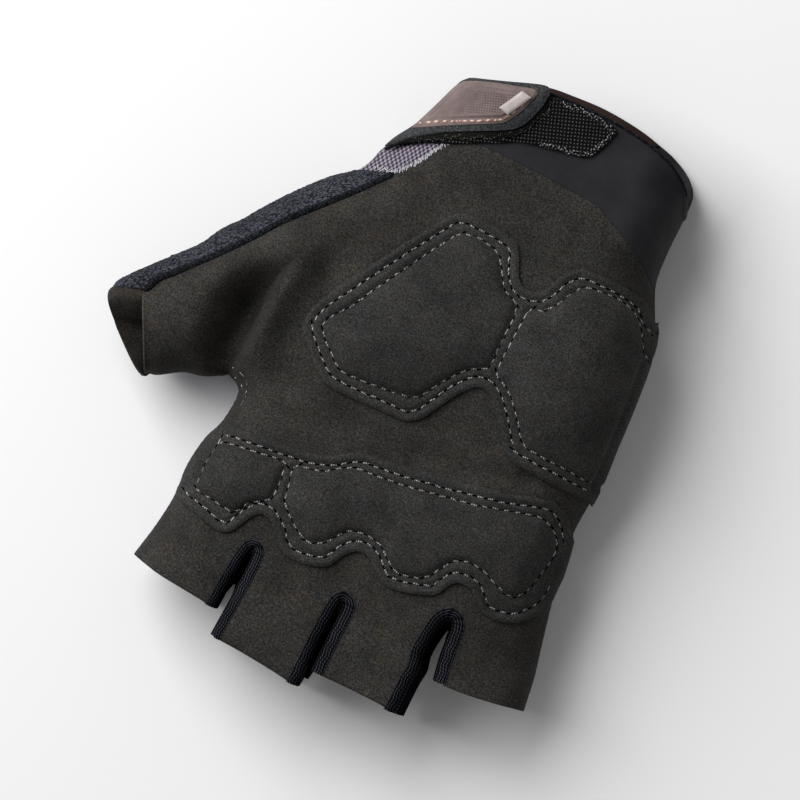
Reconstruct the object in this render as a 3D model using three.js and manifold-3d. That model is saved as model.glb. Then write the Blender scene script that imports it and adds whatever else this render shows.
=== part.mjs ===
// A fingerless cycling mitt for the right hand, lying on its back with the palm up.
// Millimetres, +Z up. The fingers point to -Y, the thumb to -X and the wrist to +Y.
// The mitt is a union of hollow tubes, one for the hand, one for each finger and one for
// the thumb. The union is cut along its seams into the panels that the mitt is sewn from,
// and the pads and the closure are layers laid over it.
import * as THREE from 'three';
import { mergeVertices } from 'three/addons/utils/BufferGeometryUtils.js';
import Module from 'manifold-3d';

const wasm = await Module();
wasm.setup();
const { Manifold, Mesh } = wasm;

// Driving dimensions
const fingerSpread = 100;        // across the four finger openings
const palmLength = 100;          // from the wrist seam to the finger crotches
const gloveDepth = 38;           // from the back to the palm at the heel
const wall = 1.6;                // suede, mesh and cuff cloth
const seamGap = 0.3;             // between pieces that meet
const backSeamHeight = 12;       // height at which the palm is sewn to the back
const fourchetteSeamHeight = 5;  // lower edge of the strips between the fingers
const overlayThickness = 1.0;    // the cut pieces sewn on the heel and the knuckles
const padRise = 1.2;             // first step of the padding above its overlay
const crownRise = 0.9;           // second step, over the middle of each pad
const crownShare = 0.78;         // size of the crown as a share of its pad
const tapeThickness = 0.9;       // loop tape under the closure
const tabThickness = 1.5;        // closure tab
const badgeThickness = 0.7;      // moulded badge on the tab
const tileThickness = 0.6;       // light tile on the badge

// Facets
const handSides = 36;
const digitSides = 20;
const handSquareness = 2.5;      // 2 is an ellipse, more is boxier
const digitSquareness = 2.3;

// Sections. A row has its left and right edge as [x, y] in percent of the finger spread and
// the palm length, and its under and top side in percent of the depth. An under side below
// zero is where the back lies flattened.
const handRows = [
  { left: [-25, 86], right: [40, 86], under: -12, top: 88 },
  { left: [-25.5, 71], right: [40, 70], under: -14, top: 90 },
  { left: [-29.5, 58], right: [40.5, 58], under: -16, top: 93 },
  { left: [-33, 51], right: [42.3, 51], under: -17, top: 95 },
  { left: [-35.5, 42], right: [47.6, 42], under: -18, top: 100 },
  { left: [-36.5, 30], right: [50.1, 30], under: -18, top: 100 },
  { left: [-37, 14], right: [51.8, 14], under: -18, top: 95 },
  { left: [-37, 0], right: [52, 0], under: -18, top: 89 },
  { left: [-36, -14], right: [53.5, -13], under: -18, top: 86 },
  { left: [-36, -26], right: [55.2, -24], under: -18, top: 84 },
  { left: [-37, -37], right: [57.5, -31], under: -16, top: 80 },
  { left: [-37.2, -48.5], right: [59, -35], under: -12, top: 75 },
];

const fingerRows = {
  index: [
    { left: [-36, -22], right: [-14.4, -22], under: -6, top: 81 },
    { left: [-36.9, -44], right: [-14.1, -45.4], under: 0, top: 75 },
    { left: [-37.3, -49], right: [-14.7, -50.4], under: 4, top: 72 },
    { left: [-38.2, -57], right: [-14.9, -58], under: 8, top: 69 },
    { left: [-39.2, -62.9], right: [-15.4, -65.1], under: 10, top: 67 },
  ],
  middle: [
    { left: [-14.4, -22], right: [10.8, -22], under: -6, top: 82 },
    { left: [-14.7, -45.4], right: [11.1, -46.4], under: 0, top: 76 },
    { left: [-14.1, -50.4], right: [10.5, -51.4], under: 4, top: 74 },
    { left: [-13.7, -61], right: [10.7, -62], under: 8, top: 71 },
    { left: [-13.9, -71], right: [10.9, -72.3], under: 10, top: 69 },
  ],
  ring: [
    { left: [10.8, -22], right: [36, -22], under: -6, top: 82 },
    { left: [10.5, -46.4], right: [36.3, -37.7], under: 0, top: 76 },
    { left: [11.1, -51.4], right: [35.7, -42.7], under: 4, top: 73 },
    { left: [11.3, -60], right: [35.9, -56], under: 8, top: 70 },
    { left: [11.4, -67.3], right: [36.8, -67], under: 10, top: 68 },
  ],
  little: [
    { left: [36, -20], right: [54.4, -20], under: -4, top: 80 },
    { left: [35.7, -37.7], right: [58.4, -35.5], under: 1, top: 74 },
    { left: [36.4, -42.7], right: [59.9, -42.5], under: 5, top: 70 },
    { left: [38.8, -55.8], right: [61.5, -52.2], under: 9, top: 64 },
  ],
};

const thumbRows = [
  { left: [-15, 40], right: [-31, 52], under: 4, top: 90 },
  { left: [-19, 26], right: [-37.3, 43], under: 0, top: 96 },
  { left: [-24, 12], right: [-43, 36], under: -2, top: 99 },
  { left: [-30, 0], right: [-49.8, 26.5], under: -2, top: 97 },
  { left: [-36.5, -9.5], right: [-56.5, 16.5], under: 2, top: 92 },
  { left: [-43, -16.3], right: [-63, 6.5], under: 7, top: 87 },
  { left: [-50.5, -19.2], right: [-69.3, -1.2], under: 13, top: 83 },
  { left: [-57.5, -23.4], right: [-74.2, -9.6], under: 18, top: 79 },
];

// Outlines of the panels, seen from above, as [x, y] in the same percents
const outlines = {
  cuffEnd: [[-90, 66], [-24, 74.5], [-16, 78], [-4, 83], [8, 84.3], [20, 84], [30, 82], [36.5, 79], [40.5, 73.5],
    [90, 66], [90, -90], [-90, -90]],
  cuff: [[-60, 48], [-31, 56], [-24, 59], [-17.6, 61], [-10, 63], [8, 63.4], [20, 63], [26, 60.8], [34, 57],
    [42, 51.5], [70, 34], [70, 120], [-60, 120]],
  wristMesh: [[-60, 70], [-60, 42], [-33.5, 46.6], [-29, 47.2], [-26.3, 47.6], [-23, 51.5], [-20, 57],
    [-17.2, 62], [-20, 70]],
  thumbWipe: [[-26.5, 47], [-32, 40], [-38.5, 32.2], [-44.5, 24.8], [-50, 16.8], [-56, 8.8], [-62, 1.7],
    [-64.3, -1.2], [-66.5, -5.9], [-70, -6.9], [-90, -10.5], [-90, 30], [-60, 44.5], [-34, 46.9]],
  heel: [[-8, 46.4], [-1, 47.2], [6.7, 46.2], [9.3, 42.8], [11.7, 38.4], [14, 37.6], [17, 38.4], [19.4, 42],
    [21, 46], [24, 48.7], [33, 49.6], [41, 47.8], [46, 43], [54, 36], [60, 30], [60, -0.3], [33, -0.2],
    [28, 0.9], [24, 6], [19, 11], [16, 11.8], [14.3, 11.3], [11.5, 8], [9, 3.3], [7, -0.7], [4, -3.3],
    [-6, -4.5], [-14, -4.9], [-20, -3.2], [-25, 0.8], [-29.2, 6.5], [-27.8, 12.5], [-23.5, 20.5],
    [-18, 31], [-12, 41.5]],
  thenarPad: [[-4.5, 42.6], [3, 42.6], [5.7, 40.6], [9.5, 35.2], [13.8, 33.2], [14.9, 17], [10.5, 13.7],
    [6.2, 7.7], [3.5, 3], [0.5, 1.8], [-8, 0.2], [-15, -0.3], [-19.5, 2.3], [-24.2, 7], [-23.5, 10.3],
    [-17, 21.8], [-9.8, 35]],
  hypothenarPad: [[17, 32.6], [20, 34.8], [22.4, 37.6], [24.5, 42], [26.5, 44.4], [33.5, 45.6], [40.3, 44],
    [43.7, 40], [48, 32], [50.5, 20], [50.5, 4], [34, 4.1], [30.8, 4.8], [24, 12.5], [18, 15.9], [17.3, 17]],
  knuckle: [[-36, -26.8], [-31.5, -24.3], [-18, -22.2], [-8, -19.6], [-2, -15.6], [8, -13.8], [21, -11],
    [33, -7.8], [42, -4.7], [48, -6.5], [52.5, -11], [60, -14], [60, -30.5], [52.3, -30.6], [49.5, -33.9],
    [45.5, -35.6], [41, -35.8], [36.5, -32], [33.8, -31.7], [31.2, -33.5], [28.6, -37.6], [22, -40],
    [18, -40.7], [14, -38.5], [10, -36], [7.5, -36.8], [3.8, -43], [-2, -45.3], [-7, -45.4], [-11, -42],
    [-14.5, -39.5], [-16.8, -39.8], [-19.4, -43.8], [-21.6, -46.9], [-24.5, -47.8], [-30, -46.9],
    [-36.2, -45.6], [-40, -45], [-40, -28]],
  indexPad: [[-33, -29], [-26, -27.3], [-16.9, -26.6], [-16.2, -35.3], [-18, -37], [-20.8, -39.3],
    [-22.6, -42.3], [-28, -42.3], [-32.6, -41.5], [-33.6, -37.5]],
  knucklePad: [[-14.8, -25.6], [-8, -23.7], [-2, -20], [8, -18.2], [21, -15.4], [33, -12.2], [42, -9.5],
    [45.5, -9.7], [48.8, -12.5], [49.7, -16], [48.5, -23], [47.5, -27.5], [44.5, -29.2], [37.5, -27],
    [33, -26.5], [29.5, -28], [25.7, -34.3], [18.5, -36.8], [12, -32.7], [8, -32.2], [4.5, -33],
    [1.3, -37], [-4, -40.1], [-9.8, -37], [-13.1, -34.8]],
  tape: [[0, 81.3], [5, 82.2], [10, 82.4], [14.5, 81.9], [15.8, 80], [14, 74.5], [11, 71.8], [0, 69],
    [-8, 65.7], [-18, 60.8], [-24, 60], [-18, 76.6], [-9, 79.8]],
  tab: [[-36, 52], [-31.5, 54.5], [-27, 57.5], [-22, 61], [-12, 66.8], [-5.5, 70.7], [-3.5, 75], [-2.5, 80.5],
    [-4, 82.9], [-12, 79.5], [-20.2, 76.3], [-24, 74.4], [-36, 71]],
  badge: [[-27.4, 60.4], [-22, 63], [-12, 68.7], [-9, 70.5], [-6.5, 74.5], [-5.1, 80.3], [-10, 79.3],
    [-20.3, 75.4], [-22.8, 74]],
  tile: [[-9, 78.4], [-6.4, 78.7], [-9.3, 72.4], [-11.7, 72.8]],
};

// Strips between the fingers: the crotch, half the width of the strip, and how far past the
// finger openings it is cut, as a share of the palm length
const slits = {
  index_middle: { crotch: [-14.4, -44.9], tip: [-14.5, -74] },
  middle_ring: { crotch: [10.8, -45.9], tip: [11.1, -74] },
  ring_little: { crotch: [36, -37.2], tip: [37.6, -69] },
};
const slitHalfWidth = 2.7;

const reach = fingerSpread * 2;  // past every side of the mitt, for cutters

// Places an [x, y] pair given in percent
function place([x, y]) {
  return new THREE.Vector2(x * fingerSpread / 100, y * palmLength / 100);
}

// Turns a closed position-only geometry into a solid
function solidFrom(geometry) {
  geometry.deleteAttribute('normal');
  geometry.deleteAttribute('uv');
  const merged = mergeVertices(geometry, 1e-4);
  const solid = new Manifold(new Mesh({
    numProp: 3,
    vertProperties: new Float32Array(merged.attributes.position.array),
    triVerts: new Uint32Array(merged.index.array),
  }));
  return solid;
}

// A ring of points round one section: a rounded box in the upright plane through its edges
function ring(row, sides, squareness, grow) {
  const left = place(row.left);
  const right = place(row.right);
  const middle = left.clone().add(right).multiplyScalar(0.5);
  const half = right.clone().sub(left).multiplyScalar(0.5);
  half.setLength(half.length() + grow);
  const under = row.under * gloveDepth / 100 - grow;
  const top = row.top * gloveDepth / 100 + grow;
  const points = [];
  for (let side = 0; side < sides; side += 1) {
    const angle = 2 * Math.PI * (side + 0.5) / sides;
    const across = Math.sign(Math.cos(angle)) * Math.abs(Math.cos(angle)) ** (2 / squareness);
    const up = Math.sign(Math.sin(angle)) * Math.abs(Math.sin(angle)) ** (2 / squareness);
    points.push([
      middle.x + half.x * across,
      middle.y + half.y * across,
      (top + under) / 2 + up * (top - under) / 2,
    ]);
  }
  return points;
}

// A closed tube through rings with the same number of points
function loft(rings) {
  const sides = rings[0].length;
  const vertices = rings.flat();
  const faces = [];
  for (let row = 0; row + 1 < rings.length; row += 1) {
    for (let side = 0; side < sides; side += 1) {
      const a = row * sides + side;
      const b = row * sides + (side + 1) % sides;
      faces.push([a, b, b + sides], [a, b + sides, a + sides]);
    }
  }
  for (const [start, forward] of [[0, false], [(rings.length - 1) * sides, true]]) {
    for (let side = 1; side + 1 < sides; side += 1) {
      const fan = [start, start + side, start + side + 1];
      faces.push(forward ? fan : fan.reverse());
    }
  }
  const flip = signedVolume(vertices, faces) < 0;
  return new Manifold(new Mesh({
    numProp: 3,
    vertProperties: new Float32Array(vertices.flat()),
    triVerts: new Uint32Array(faces.flatMap((face) => (flip ? [...face].reverse() : face))),
  }));
}

// Volume inside a list of triangles, negative when they face inwards
function signedVolume(vertices, faces) {
  let volume = 0;
  for (const [a, b, c] of faces) {
    const [p, q, r] = [a, b, c].map((index) => new THREE.Vector3(...vertices[index]));
    volume += p.dot(q.cross(r)) / 6;
  }
  return volume;
}

// Moves a row past its neighbour, so that a hollow runs out of its opening
function past(row, neighbour, distance) {
  const shift = place(row.left).add(place(row.right)).sub(place(neighbour.left)).sub(place(neighbour.right));
  shift.setLength(distance);
  const move = ([x, y]) => [x + shift.x * 100 / fingerSpread, y + shift.y * 100 / palmLength];
  return { ...row, left: move(row.left), right: move(row.right) };
}

// The tube of one digit or of the hand, grown outwards by a distance, and run on past its ends
function tube(rows, sides, squareness, grow, before, after) {
  const last = rows.length - 1;
  const run = [...rows];
  if (before !== 0) run[0] = past(rows[0], rows[1], before);
  if (after !== 0) run[last] = past(rows[last], rows[last - 1], after);
  return loft(run.map((row) => ring(row, sides, squareness, grow)));
}

// A flat-sided block over an outline, grown outwards by a distance, between two heights
function prism(points, grow, low, high) {
  const corners = points.map(place);
  if (THREE.ShapeUtils.area(corners) < 0) corners.reverse();
  const grown = corners.map((corner, at) => {
    const before = corners[(at + corners.length - 1) % corners.length];
    const after = corners[(at + 1) % corners.length];
    const inward = corner.clone().sub(before).normalize();
    const outward = after.clone().sub(corner).normalize();
    const normal = new THREE.Vector2(inward.y + outward.y, -inward.x - outward.x).normalize();
    const lean = Math.max(0.5, normal.x * inward.y - normal.y * inward.x);
    return corner.clone().addScaledVector(normal, grow / lean);
  });
  const geometry = new THREE.ExtrudeGeometry(new THREE.Shape(grown), { depth: high - low, bevelEnabled: false });
  geometry.translate(0, 0, low);
  return solidFrom(geometry);
}

// Everything above a height
function above(height) {
  const block = new THREE.BoxGeometry(2 * reach, 2 * reach, reach);
  block.translate(0, 0, height + reach / 2);
  return solidFrom(block);
}

// The whole mitt as one filled form, grown by a distance. Its ends stay where they are for
// the outside, and run out through the openings for the hollow.
function filled(grow, runOut) {
  let form = tube(handRows, handSides, handSquareness, grow, runOut, -Math.max(0, -grow));
  for (const rows of [...Object.values(fingerRows), thumbRows]) {
    form = form.add(tube(rows, digitSides, digitSquareness, grow, 0, runOut));
  }
  return form;
}

// A strip region between two fingers
function slitOutline({ crotch, tip }, halfWidth) {
  const width = halfWidth * 100 / fingerSpread;
  const turn = halfWidth * 100 / palmLength;
  const points = [];
  for (let step = 0; step <= 6; step += 1) {
    const angle = Math.PI * step / 6;
    points.push([crotch[0] + width * Math.cos(angle), crotch[1] + turn * (Math.sin(angle) - 1)]);
  }
  points.push([tip[0] - width, tip[1]], [tip[0] + width, tip[1]]);
  return points;
}

// The sewn shell: the outside, less the hollow, lying flat on its back
const outside = filled(0, 0).intersect(above(0));
const hollow = filled(-wall, 12).intersect(above(wall));
const floorToTop = [-1, reach];
const cuffEnd = prism(outlines.cuffEnd, 0, ...floorToTop);
const shell = outside.subtract(hollow).intersect(cuffEnd);

// Panels of the shell
const cuffBlock = prism(outlines.cuff, 0, ...floorToTop);
const wipeBlock = prism(outlines.thumbWipe, 0, ...floorToTop);
const belowCuff = shell.subtract(prism(outlines.cuff, seamGap, ...floorToTop));
const sides = belowCuff.subtract(prism(outlines.thumbWipe, seamGap, ...floorToTop));

function buildFourchette(slit) {
  return sides.intersect(prism(slitOutline(slit, slitHalfWidth), 0, fourchetteSeamHeight, reach));
}

function buildPalm() {
  let palm = sides.intersect(above(backSeamHeight + seamGap));
  palm = palm.subtract(prism(outlines.wristMesh, seamGap, ...floorToTop));
  for (const slit of Object.values(slits)) {
    palm = palm.subtract(prism(slitOutline(slit, slitHalfWidth + seamGap), 0, ...floorToTop));
  }
  return palm;
}

function buildBack() {
  const lower = sides.subtract(above(backSeamHeight));
  let back = lower.add(sides.intersect(prism(outlines.wristMesh, 0, ...floorToTop)));
  for (const slit of Object.values(slits)) {
    const low = fourchetteSeamHeight - seamGap;
    back = back.subtract(prism(slitOutline(slit, slitHalfWidth + seamGap), 0, low, reach));
  }
  return back;
}

// A layer over the shell between two heights above it, inside an outline
function layer(outline, low, thickness) {
  const skin = filled(low + thickness, 0).subtract(filled(low, 0)).intersect(above(backSeamHeight));
  return skin.intersect(prism(outline, 0, ...floorToTop));
}

// An outline drawn in towards its middle
function drawnIn(outline, share) {
  const middle = [0, 1].map((axis) => outline.reduce((sum, point) => sum + point[axis], 0) / outline.length);
  return outline.map((point) => point.map((value, axis) => middle[axis] + (value - middle[axis]) * share));
}

// A cut piece with padded cells, each crowned in two steps
function buildOverlay(outline, pads) {
  let overlay = layer(outline, seamGap, overlayThickness);
  for (const pad of pads) {
    overlay = overlay.add(layer(pad, seamGap, overlayThickness + padRise));
    overlay = overlay.add(layer(drawnIn(pad, crownShare), seamGap, overlayThickness + padRise + crownRise));
  }
  return overlay;
}

const tabBase = seamGap + tapeThickness + seamGap;
const badgeBase = tabBase + tabThickness + seamGap;
const tileBase = badgeBase + badgeThickness + seamGap;

const suede = { color: 0x35302b, roughness: 0.92 };
const overlaySuede = { color: 0x34332f, roughness: 0.9 };
const pieces = {
  palm_panel: [buildPalm(), suede],
  back_panel: [buildBack(), { color: 0x8b8896, roughness: 0.85 }],
  thumb_wipe: [belowCuff.intersect(wipeBlock), { color: 0x2b303a, roughness: 1 }],
  cuff: [shell.intersect(cuffBlock), { color: 0x25262c, roughness: 0.7 }],
  heel_overlay: [buildOverlay(outlines.heel, [outlines.thenarPad, outlines.hypothenarPad]), overlaySuede],
  knuckle_overlay: [buildOverlay(outlines.knuckle, [outlines.indexPad, outlines.knucklePad]), overlaySuede],
  loop_tape: [layer(outlines.tape, seamGap, tapeThickness), { color: 0x17181b, roughness: 1 }],
  closure_tab: [layer(outlines.tab, tabBase, tabThickness), { color: 0x2a2a2e, roughness: 0.95 }],
  closure_badge: [layer(outlines.badge, badgeBase, badgeThickness), { color: 0x8a7673, roughness: 0.6 }],
  badge_tile: [layer(outlines.tile, tileBase, tileThickness), { color: 0xb9b4ad, roughness: 0.5 }],
};
for (const [name, slit] of Object.entries(slits)) {
  pieces[`fourchette_${name}`] = [buildFourchette(slit), { color: 0x14151d, roughness: 0.8 }];
}

// Makes a named mesh of a solid
function meshOf(name, solid, look) {
  const { vertProperties, triVerts } = solid.getMesh();
  const geometry = new THREE.BufferGeometry();
  geometry.setAttribute('position', new THREE.BufferAttribute(new Float32Array(vertProperties), 3));
  geometry.setIndex(new THREE.BufferAttribute(new Uint32Array(triVerts), 1));
  geometry.computeVertexNormals();
  const mesh = new THREE.Mesh(geometry, new THREE.MeshStandardMaterial({ metalness: 0, ...look }));
  mesh.name = name;
  return mesh;
}

const glove = new THREE.Group();
for (const [name, [solid, look]] of Object.entries(pieces)) {
  glove.add(meshOf(name, solid, look));
}

// The origin is under the middle of the mitt, on the surface that it lies on
const bounds = new THREE.Box3().setFromObject(glove);
const centre = bounds.getCenter(new THREE.Vector3());
glove.position.set(-centre.x, -centre.y, -bounds.min.z);

export default glove;
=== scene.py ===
"""Dresses a fingerless cycling mitt for the right hand, lying on its back with the palm up.

Every shape is drawn in millimetres on a plan of the palm, with the fingers to -Y and the thumb
to -X, and then set in the frame in metres. The height over the plan comes from HandForm, so each
panel, overlay, tape and stitch lies on the same soft form.
"""
from __future__ import annotations

import logging
import math
from dataclasses import dataclass, field
from enum import Enum
from typing import Callable, Sequence

import bmesh
import bpy
import numpy as np
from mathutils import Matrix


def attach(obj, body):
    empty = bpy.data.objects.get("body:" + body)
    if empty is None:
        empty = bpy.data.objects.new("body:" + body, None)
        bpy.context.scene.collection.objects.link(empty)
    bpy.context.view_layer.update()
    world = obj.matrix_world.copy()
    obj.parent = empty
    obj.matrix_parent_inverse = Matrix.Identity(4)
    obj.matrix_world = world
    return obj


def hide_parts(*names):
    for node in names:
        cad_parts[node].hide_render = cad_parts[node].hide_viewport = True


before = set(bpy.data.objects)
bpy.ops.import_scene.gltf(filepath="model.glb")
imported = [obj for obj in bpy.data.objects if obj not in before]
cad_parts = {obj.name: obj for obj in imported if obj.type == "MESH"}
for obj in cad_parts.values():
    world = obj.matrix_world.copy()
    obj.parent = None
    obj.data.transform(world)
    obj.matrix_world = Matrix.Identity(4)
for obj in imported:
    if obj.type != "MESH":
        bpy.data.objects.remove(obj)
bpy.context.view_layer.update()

Array = np.ndarray
Pair = tuple[float, float]
Triple = tuple[float, float, float]
Points = Sequence[Pair]
Heights = Callable[[Array, Array], Array]
Tree = bpy.types.NodeTree
Socket = bpy.types.NodeSocket
Piece = bpy.types.Object

MM = 0.001
PLAN_ZERO = np.array([6.36, -6.0])  # where the plan's zero lies in the frame, in millimetres
IMAGE_SIDE = 800  # pixels
MM_PER_PIXEL = 0.24
CAMERA_ROLL = 28.0  # degrees
CAMERA_HEIGHT = 3.0  # metres above the palm
SENSOR = 36.0  # millimetres, the camera's own unit
PALM_LEVEL = 0.024  # metres, the level that the camera's height counts from
CAMERA_REACH = 10.0  # metres
FLOOR_SIDE = 6.0  # metres
FLOOR_DROP = 0.0005  # metres under the mitt
FLOOR_TONE = 0.9
FLOOR_ROUGHNESS = 0.9
WORLD_STRENGTH = 0.24
KEY_PLACE = (-0.80, 0.26, 0.85)  # metres
KEY_SIDE = 1.0  # metres
KEY_POWER = 19.1  # watts
LIGHT_AIM = (0, 0, 0.02)  # metres
THREAD_LIFT = 0.12  # millimetres, of thread laid straight on the suede
LOG = logging.getLogger("mitt")


# Curves and distances on the plan

def smooth_line(points: Points, step: float = 1.0, closed: bool = False) -> Array:
    """Draws a Catmull-Rom curve through points and spaces it evenly.

    Each span is the usual cubic blend of its two ends and their two neighbours.

    Args:
        points: the places that the curve passes through.
        step: distance between the points that come back.
        closed: whether the last point joins the first.

    Returns:
        An array of places, one row each.
    """
    p = np.asarray(points, float)
    if closed:
        around = np.vstack([p[-1:], p, p[:2]])
    else:
        around = np.vstack([2 * p[0] - p[1], p, 2 * p[-1] - p[-2]])
    a, b, c, d = around[:-3], around[1:-2], around[2:-1], around[3:]
    t = np.linspace(0, 1, 24, endpoint=False)[:, None, None]
    spans = 0.5 * (2 * b + (c - a) * t + (2 * a - 5 * b + 4 * c - d) * t**2
                   + (3 * b - 3 * c + d - a) * t**3)
    curve = np.vstack([spans.transpose(1, 0, 2).reshape(-1, p.shape[1]), c[-1:]])
    along = np.concatenate([[0], np.cumsum(np.linalg.norm(np.diff(curve, axis=0), axis=1))])
    count = max(2, int(round(along[-1] / step)) + 1)
    places = np.linspace(0, along[-1], count)
    return np.column_stack([np.interp(places, along, curve[:, k]) for k in range(p.shape[1])])


def ease(x: Array, start: float, end: float) -> Array:
    """Rises smoothly from 0 at start to 1 at end."""
    t = np.clip((x - start) / (end - start), 0, 1)
    return t * t * (3 - 2 * t)


def distance(x: Array, y: Array, line: Array, closed: bool = False) -> Array:
    """Measures from each place to the nearest point of a line of straight steps.

    Args:
        x: plan places.
        y: plan places.
        line: points of the line, one row each.
        closed: whether the last point joins the first.

    Returns:
        The distance in millimetres, in the shape of x.
    """
    ends = np.vstack([line, line[:1]]) if closed else line
    start, span = ends[:-1], np.diff(ends, axis=0)
    length = np.maximum((span**2).sum(1), 1e-12)
    places = np.column_stack([x.ravel(), y.ravel()])
    found = []
    for block in np.array_split(places, max(1, len(places) // 6000)):
        away = block[:, None, :] - start
        t = np.clip((away * span).sum(2) / length, 0, 1)
        found.append(np.sqrt(((away - t[..., None] * span)**2).sum(2).min(1)))
    return np.concatenate(found).reshape(x.shape)


def nearest(line: Array, place: Pair) -> int:
    """Finds the number of the line's point nearest to a place."""
    return int(np.argmin(np.hypot(line[:, 0] - place[0], line[:, 1] - place[1])))


def inside(x: Array, y: Array, line: Array) -> Array:
    """Tells which places lie inside a closed line, by counting the sides to their right.

    Args:
        x: plan places.
        y: plan places.
        line: points of the line, one row each.

    Returns:
        Whether each place lies inside.
    """
    x0, y0 = line[:, 0], line[:, 1]
    x1, y1 = np.roll(x0, -1), np.roll(y0, -1)
    rise = np.where(np.abs(y1 - y0) < 1e-12, 1e-12, y1 - y0)
    found = []
    for block_x, block_y in zip(np.array_split(x.ravel(), 8), np.array_split(y.ravel(), 8)):
        px, py = block_x[:, None], block_y[:, None]
        crosses = ((y0 > py) != (y1 > py)) & (px < x0 + (py - y0) * (x1 - x0) / rise)
        found.append(crosses.sum(1) % 2 == 1)
    return np.concatenate(found).reshape(x.shape)


def depth_inside(x: Array, y: Array, line: Array) -> Array:
    """Measures how far inside a closed line each place lies, negative outside."""
    away = distance(x, y, line, closed=True)
    return np.where(inside(x, y, line), away, -away)


# The drawing: sides, seams and cut pieces on the plan, in millimetres

THUMB_CROTCH = (-39.2, -14.3)
THUMB_CORNER = (-57.2, -23.2)  # where the thumb's opening ends on the web side
ULNAR_SIDE: Points = (
    (39.5, 100), (40, 84), (40.1, 70), (40.3, 62), (41, 55), (42.5, 50.8), (44.8, 46.6),
    (46.8, 42.6), (49.2, 37), (50.6, 28), (51.8, 16), (52.4, 6), (52, -2), (52, -9), (53.6, -14),
    (54.4, -22), (56.3, -30), (58, -36.5), (60, -44), (61.5, -52.2), (63.5, -62), (66, -76))
OUTER_SIDE: Points = (
    (-21.6, 100), (-22.2, 82), (-23, 73), (-24.4, 67), (-26.3, 62), (-28.6, 58), (-31, 54),
    (-32.5, 50.6), (-33.2, 47.6), (-35, 44), (-37.2, 41.8), (-40, 39.3), (-44, 34.5), (-47.2, 30.3),
    (-50.5, 25.5), (-53.5, 20.7), (-57, 16), (-59.5, 11), (-63, 6.5), (-69.5, -1.5), (-72.8, -6),
    (-74.7, -9.2), (-80, -17))
WEB_SIDE: Points = (
    (-66, -30), (-57.5, -23.4), (-54.5, -22.2), (-51, -19.7), (-48.5, -18.3), (-44.5, -17.2),
    (-41, -15.2), THUMB_CROTCH, (-37.3, -14.6), (-35.6, -16), (-35, -18.5), (-35.5, -25),
    (-37.2, -30), (-38, -38), (-37.2, -45.5), (-37.8, -54), (-39.2, -62.8), (-41, -76))
CUFF_SEAM: Points = (
    (-30.6, 54.6), (-27.6, 57.4), (-24, 59.2), (-17.6, 61), (-10, 63), (8, 63.4), (20, 63),
    (26, 60.8), (34, 57), (42.2, 51.3))
CUFF_END: Points = (
    (-24.2, 73.6), (-20, 76.4), (-12, 80.3), (-4, 83.5), (3, 84.6), (11, 85.3), (20, 84.9),
    (26, 83.9), (32, 82.4), (36.8, 79.8), (39.4, 76.6), (40.1, 72))
PALM_TOP: Points = (
    (-17.6, 61), (-10, 63), (8, 63.4), (20, 63), (26, 60.8), (34, 57), (42.2, 51.3))
PALM_LEFT: Points = (
    (-17.6, 61), (-20, 57), (-23, 51.5), (-26.5, 47.3), (-30, 41), (-35, 29), (-38.6, 18.5),
    (-40.4, 9), (-40.9, -3), (-40.4, -11), THUMB_CROTCH)
TERRY_SEAM: Points = (
    (-26.5, 47.3), (-32, 40), (-38.5, 32.2), (-44.5, 24.8), (-50, 16.8), (-56, 8.8))
TERRY_SEAM_END: Points = ((-56, 8.8), (-62, 1.7), (-64.6, -1.4), (-66.5, -5.9))
THUMB_CREASE: Points = (
    (-66.5, -5.9), (-64.4, -10), (-62.1, -14), (-60.2, -17.4), (-58.2, -21), THUMB_CORNER)
THUMB_LIP: Points = (
    (-73.3, -7.2), (-74.2, -9), (-74.15, -10.2), (-73.5, -11.5), (-72.3, -13), (-70, -15.2),
    (-67, -17.6), (-64, -19.9), (-61, -22), (-59, -23.1), (-57.4, -23.6))
TERRY_END: Points = ((-66.5, -5.9), (-68.5, -6.6), (-70.5, -7), (-72.2, -7.6), (-73.9, -8.1))
HEEL_TOP: Points = (
    (-29.2, 7), (-28.6, 10.5), (-26.5, 15), (-23.5, 20.8), (-18, 31), (-12, 41.3), (-9.6, 44.9),
    (-7, 46.5), (-1, 47), (4.8, 46.7), (7.4, 45.7), (9.3, 42.8), (11, 39.6), (12.5, 38),
    (14.2, 37.6), (16.6, 38), (18.6, 40.2), (20, 44), (22.2, 46.8), (25, 48.2), (33.4, 48.9),
    (40.2, 47.9), (43.9, 45.2), (47.4, 43.6))
HEEL_BOTTOM: Points = (
    (-29.2, 7), (-28.4, 4.2), (-25, 0.6), (-20, -3.4), (-17, -4.7), (-12, -4.9), (-4, -4.3),
    (2, -3.9), (4.6, -3), (7, -0.6), (9, 3.3), (11.6, 8), (14.2, 11.2), (16, 11.9), (18.4, 11.4),
    (21.4, 8.8), (25, 4.6), (28, 1), (30.4, -0.1), (36, -0.3), (46, -0.3), (52.6, -0.3))
THENAR_CELL: Points = (
    (-7, 40.3), (-4.8, 42.2), (-1, 42.8), (3, 42.3), (5.4, 40.6), (9.5, 35.2), (13, 33.8),
    (14.5, 31.6), (15, 24), (15, 17.2), (12.6, 15.4), (9.8, 12.9), (6.4, 8), (4, 3.6), (1, 1.9),
    (-5, 0.7), (-11, -0.1), (-16, -0.1), (-20, 2.6), (-24.2, 6.6), (-23.6, 10), (-20.7, 14.5),
    (-17, 21.8), (-12, 31.2))
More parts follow.
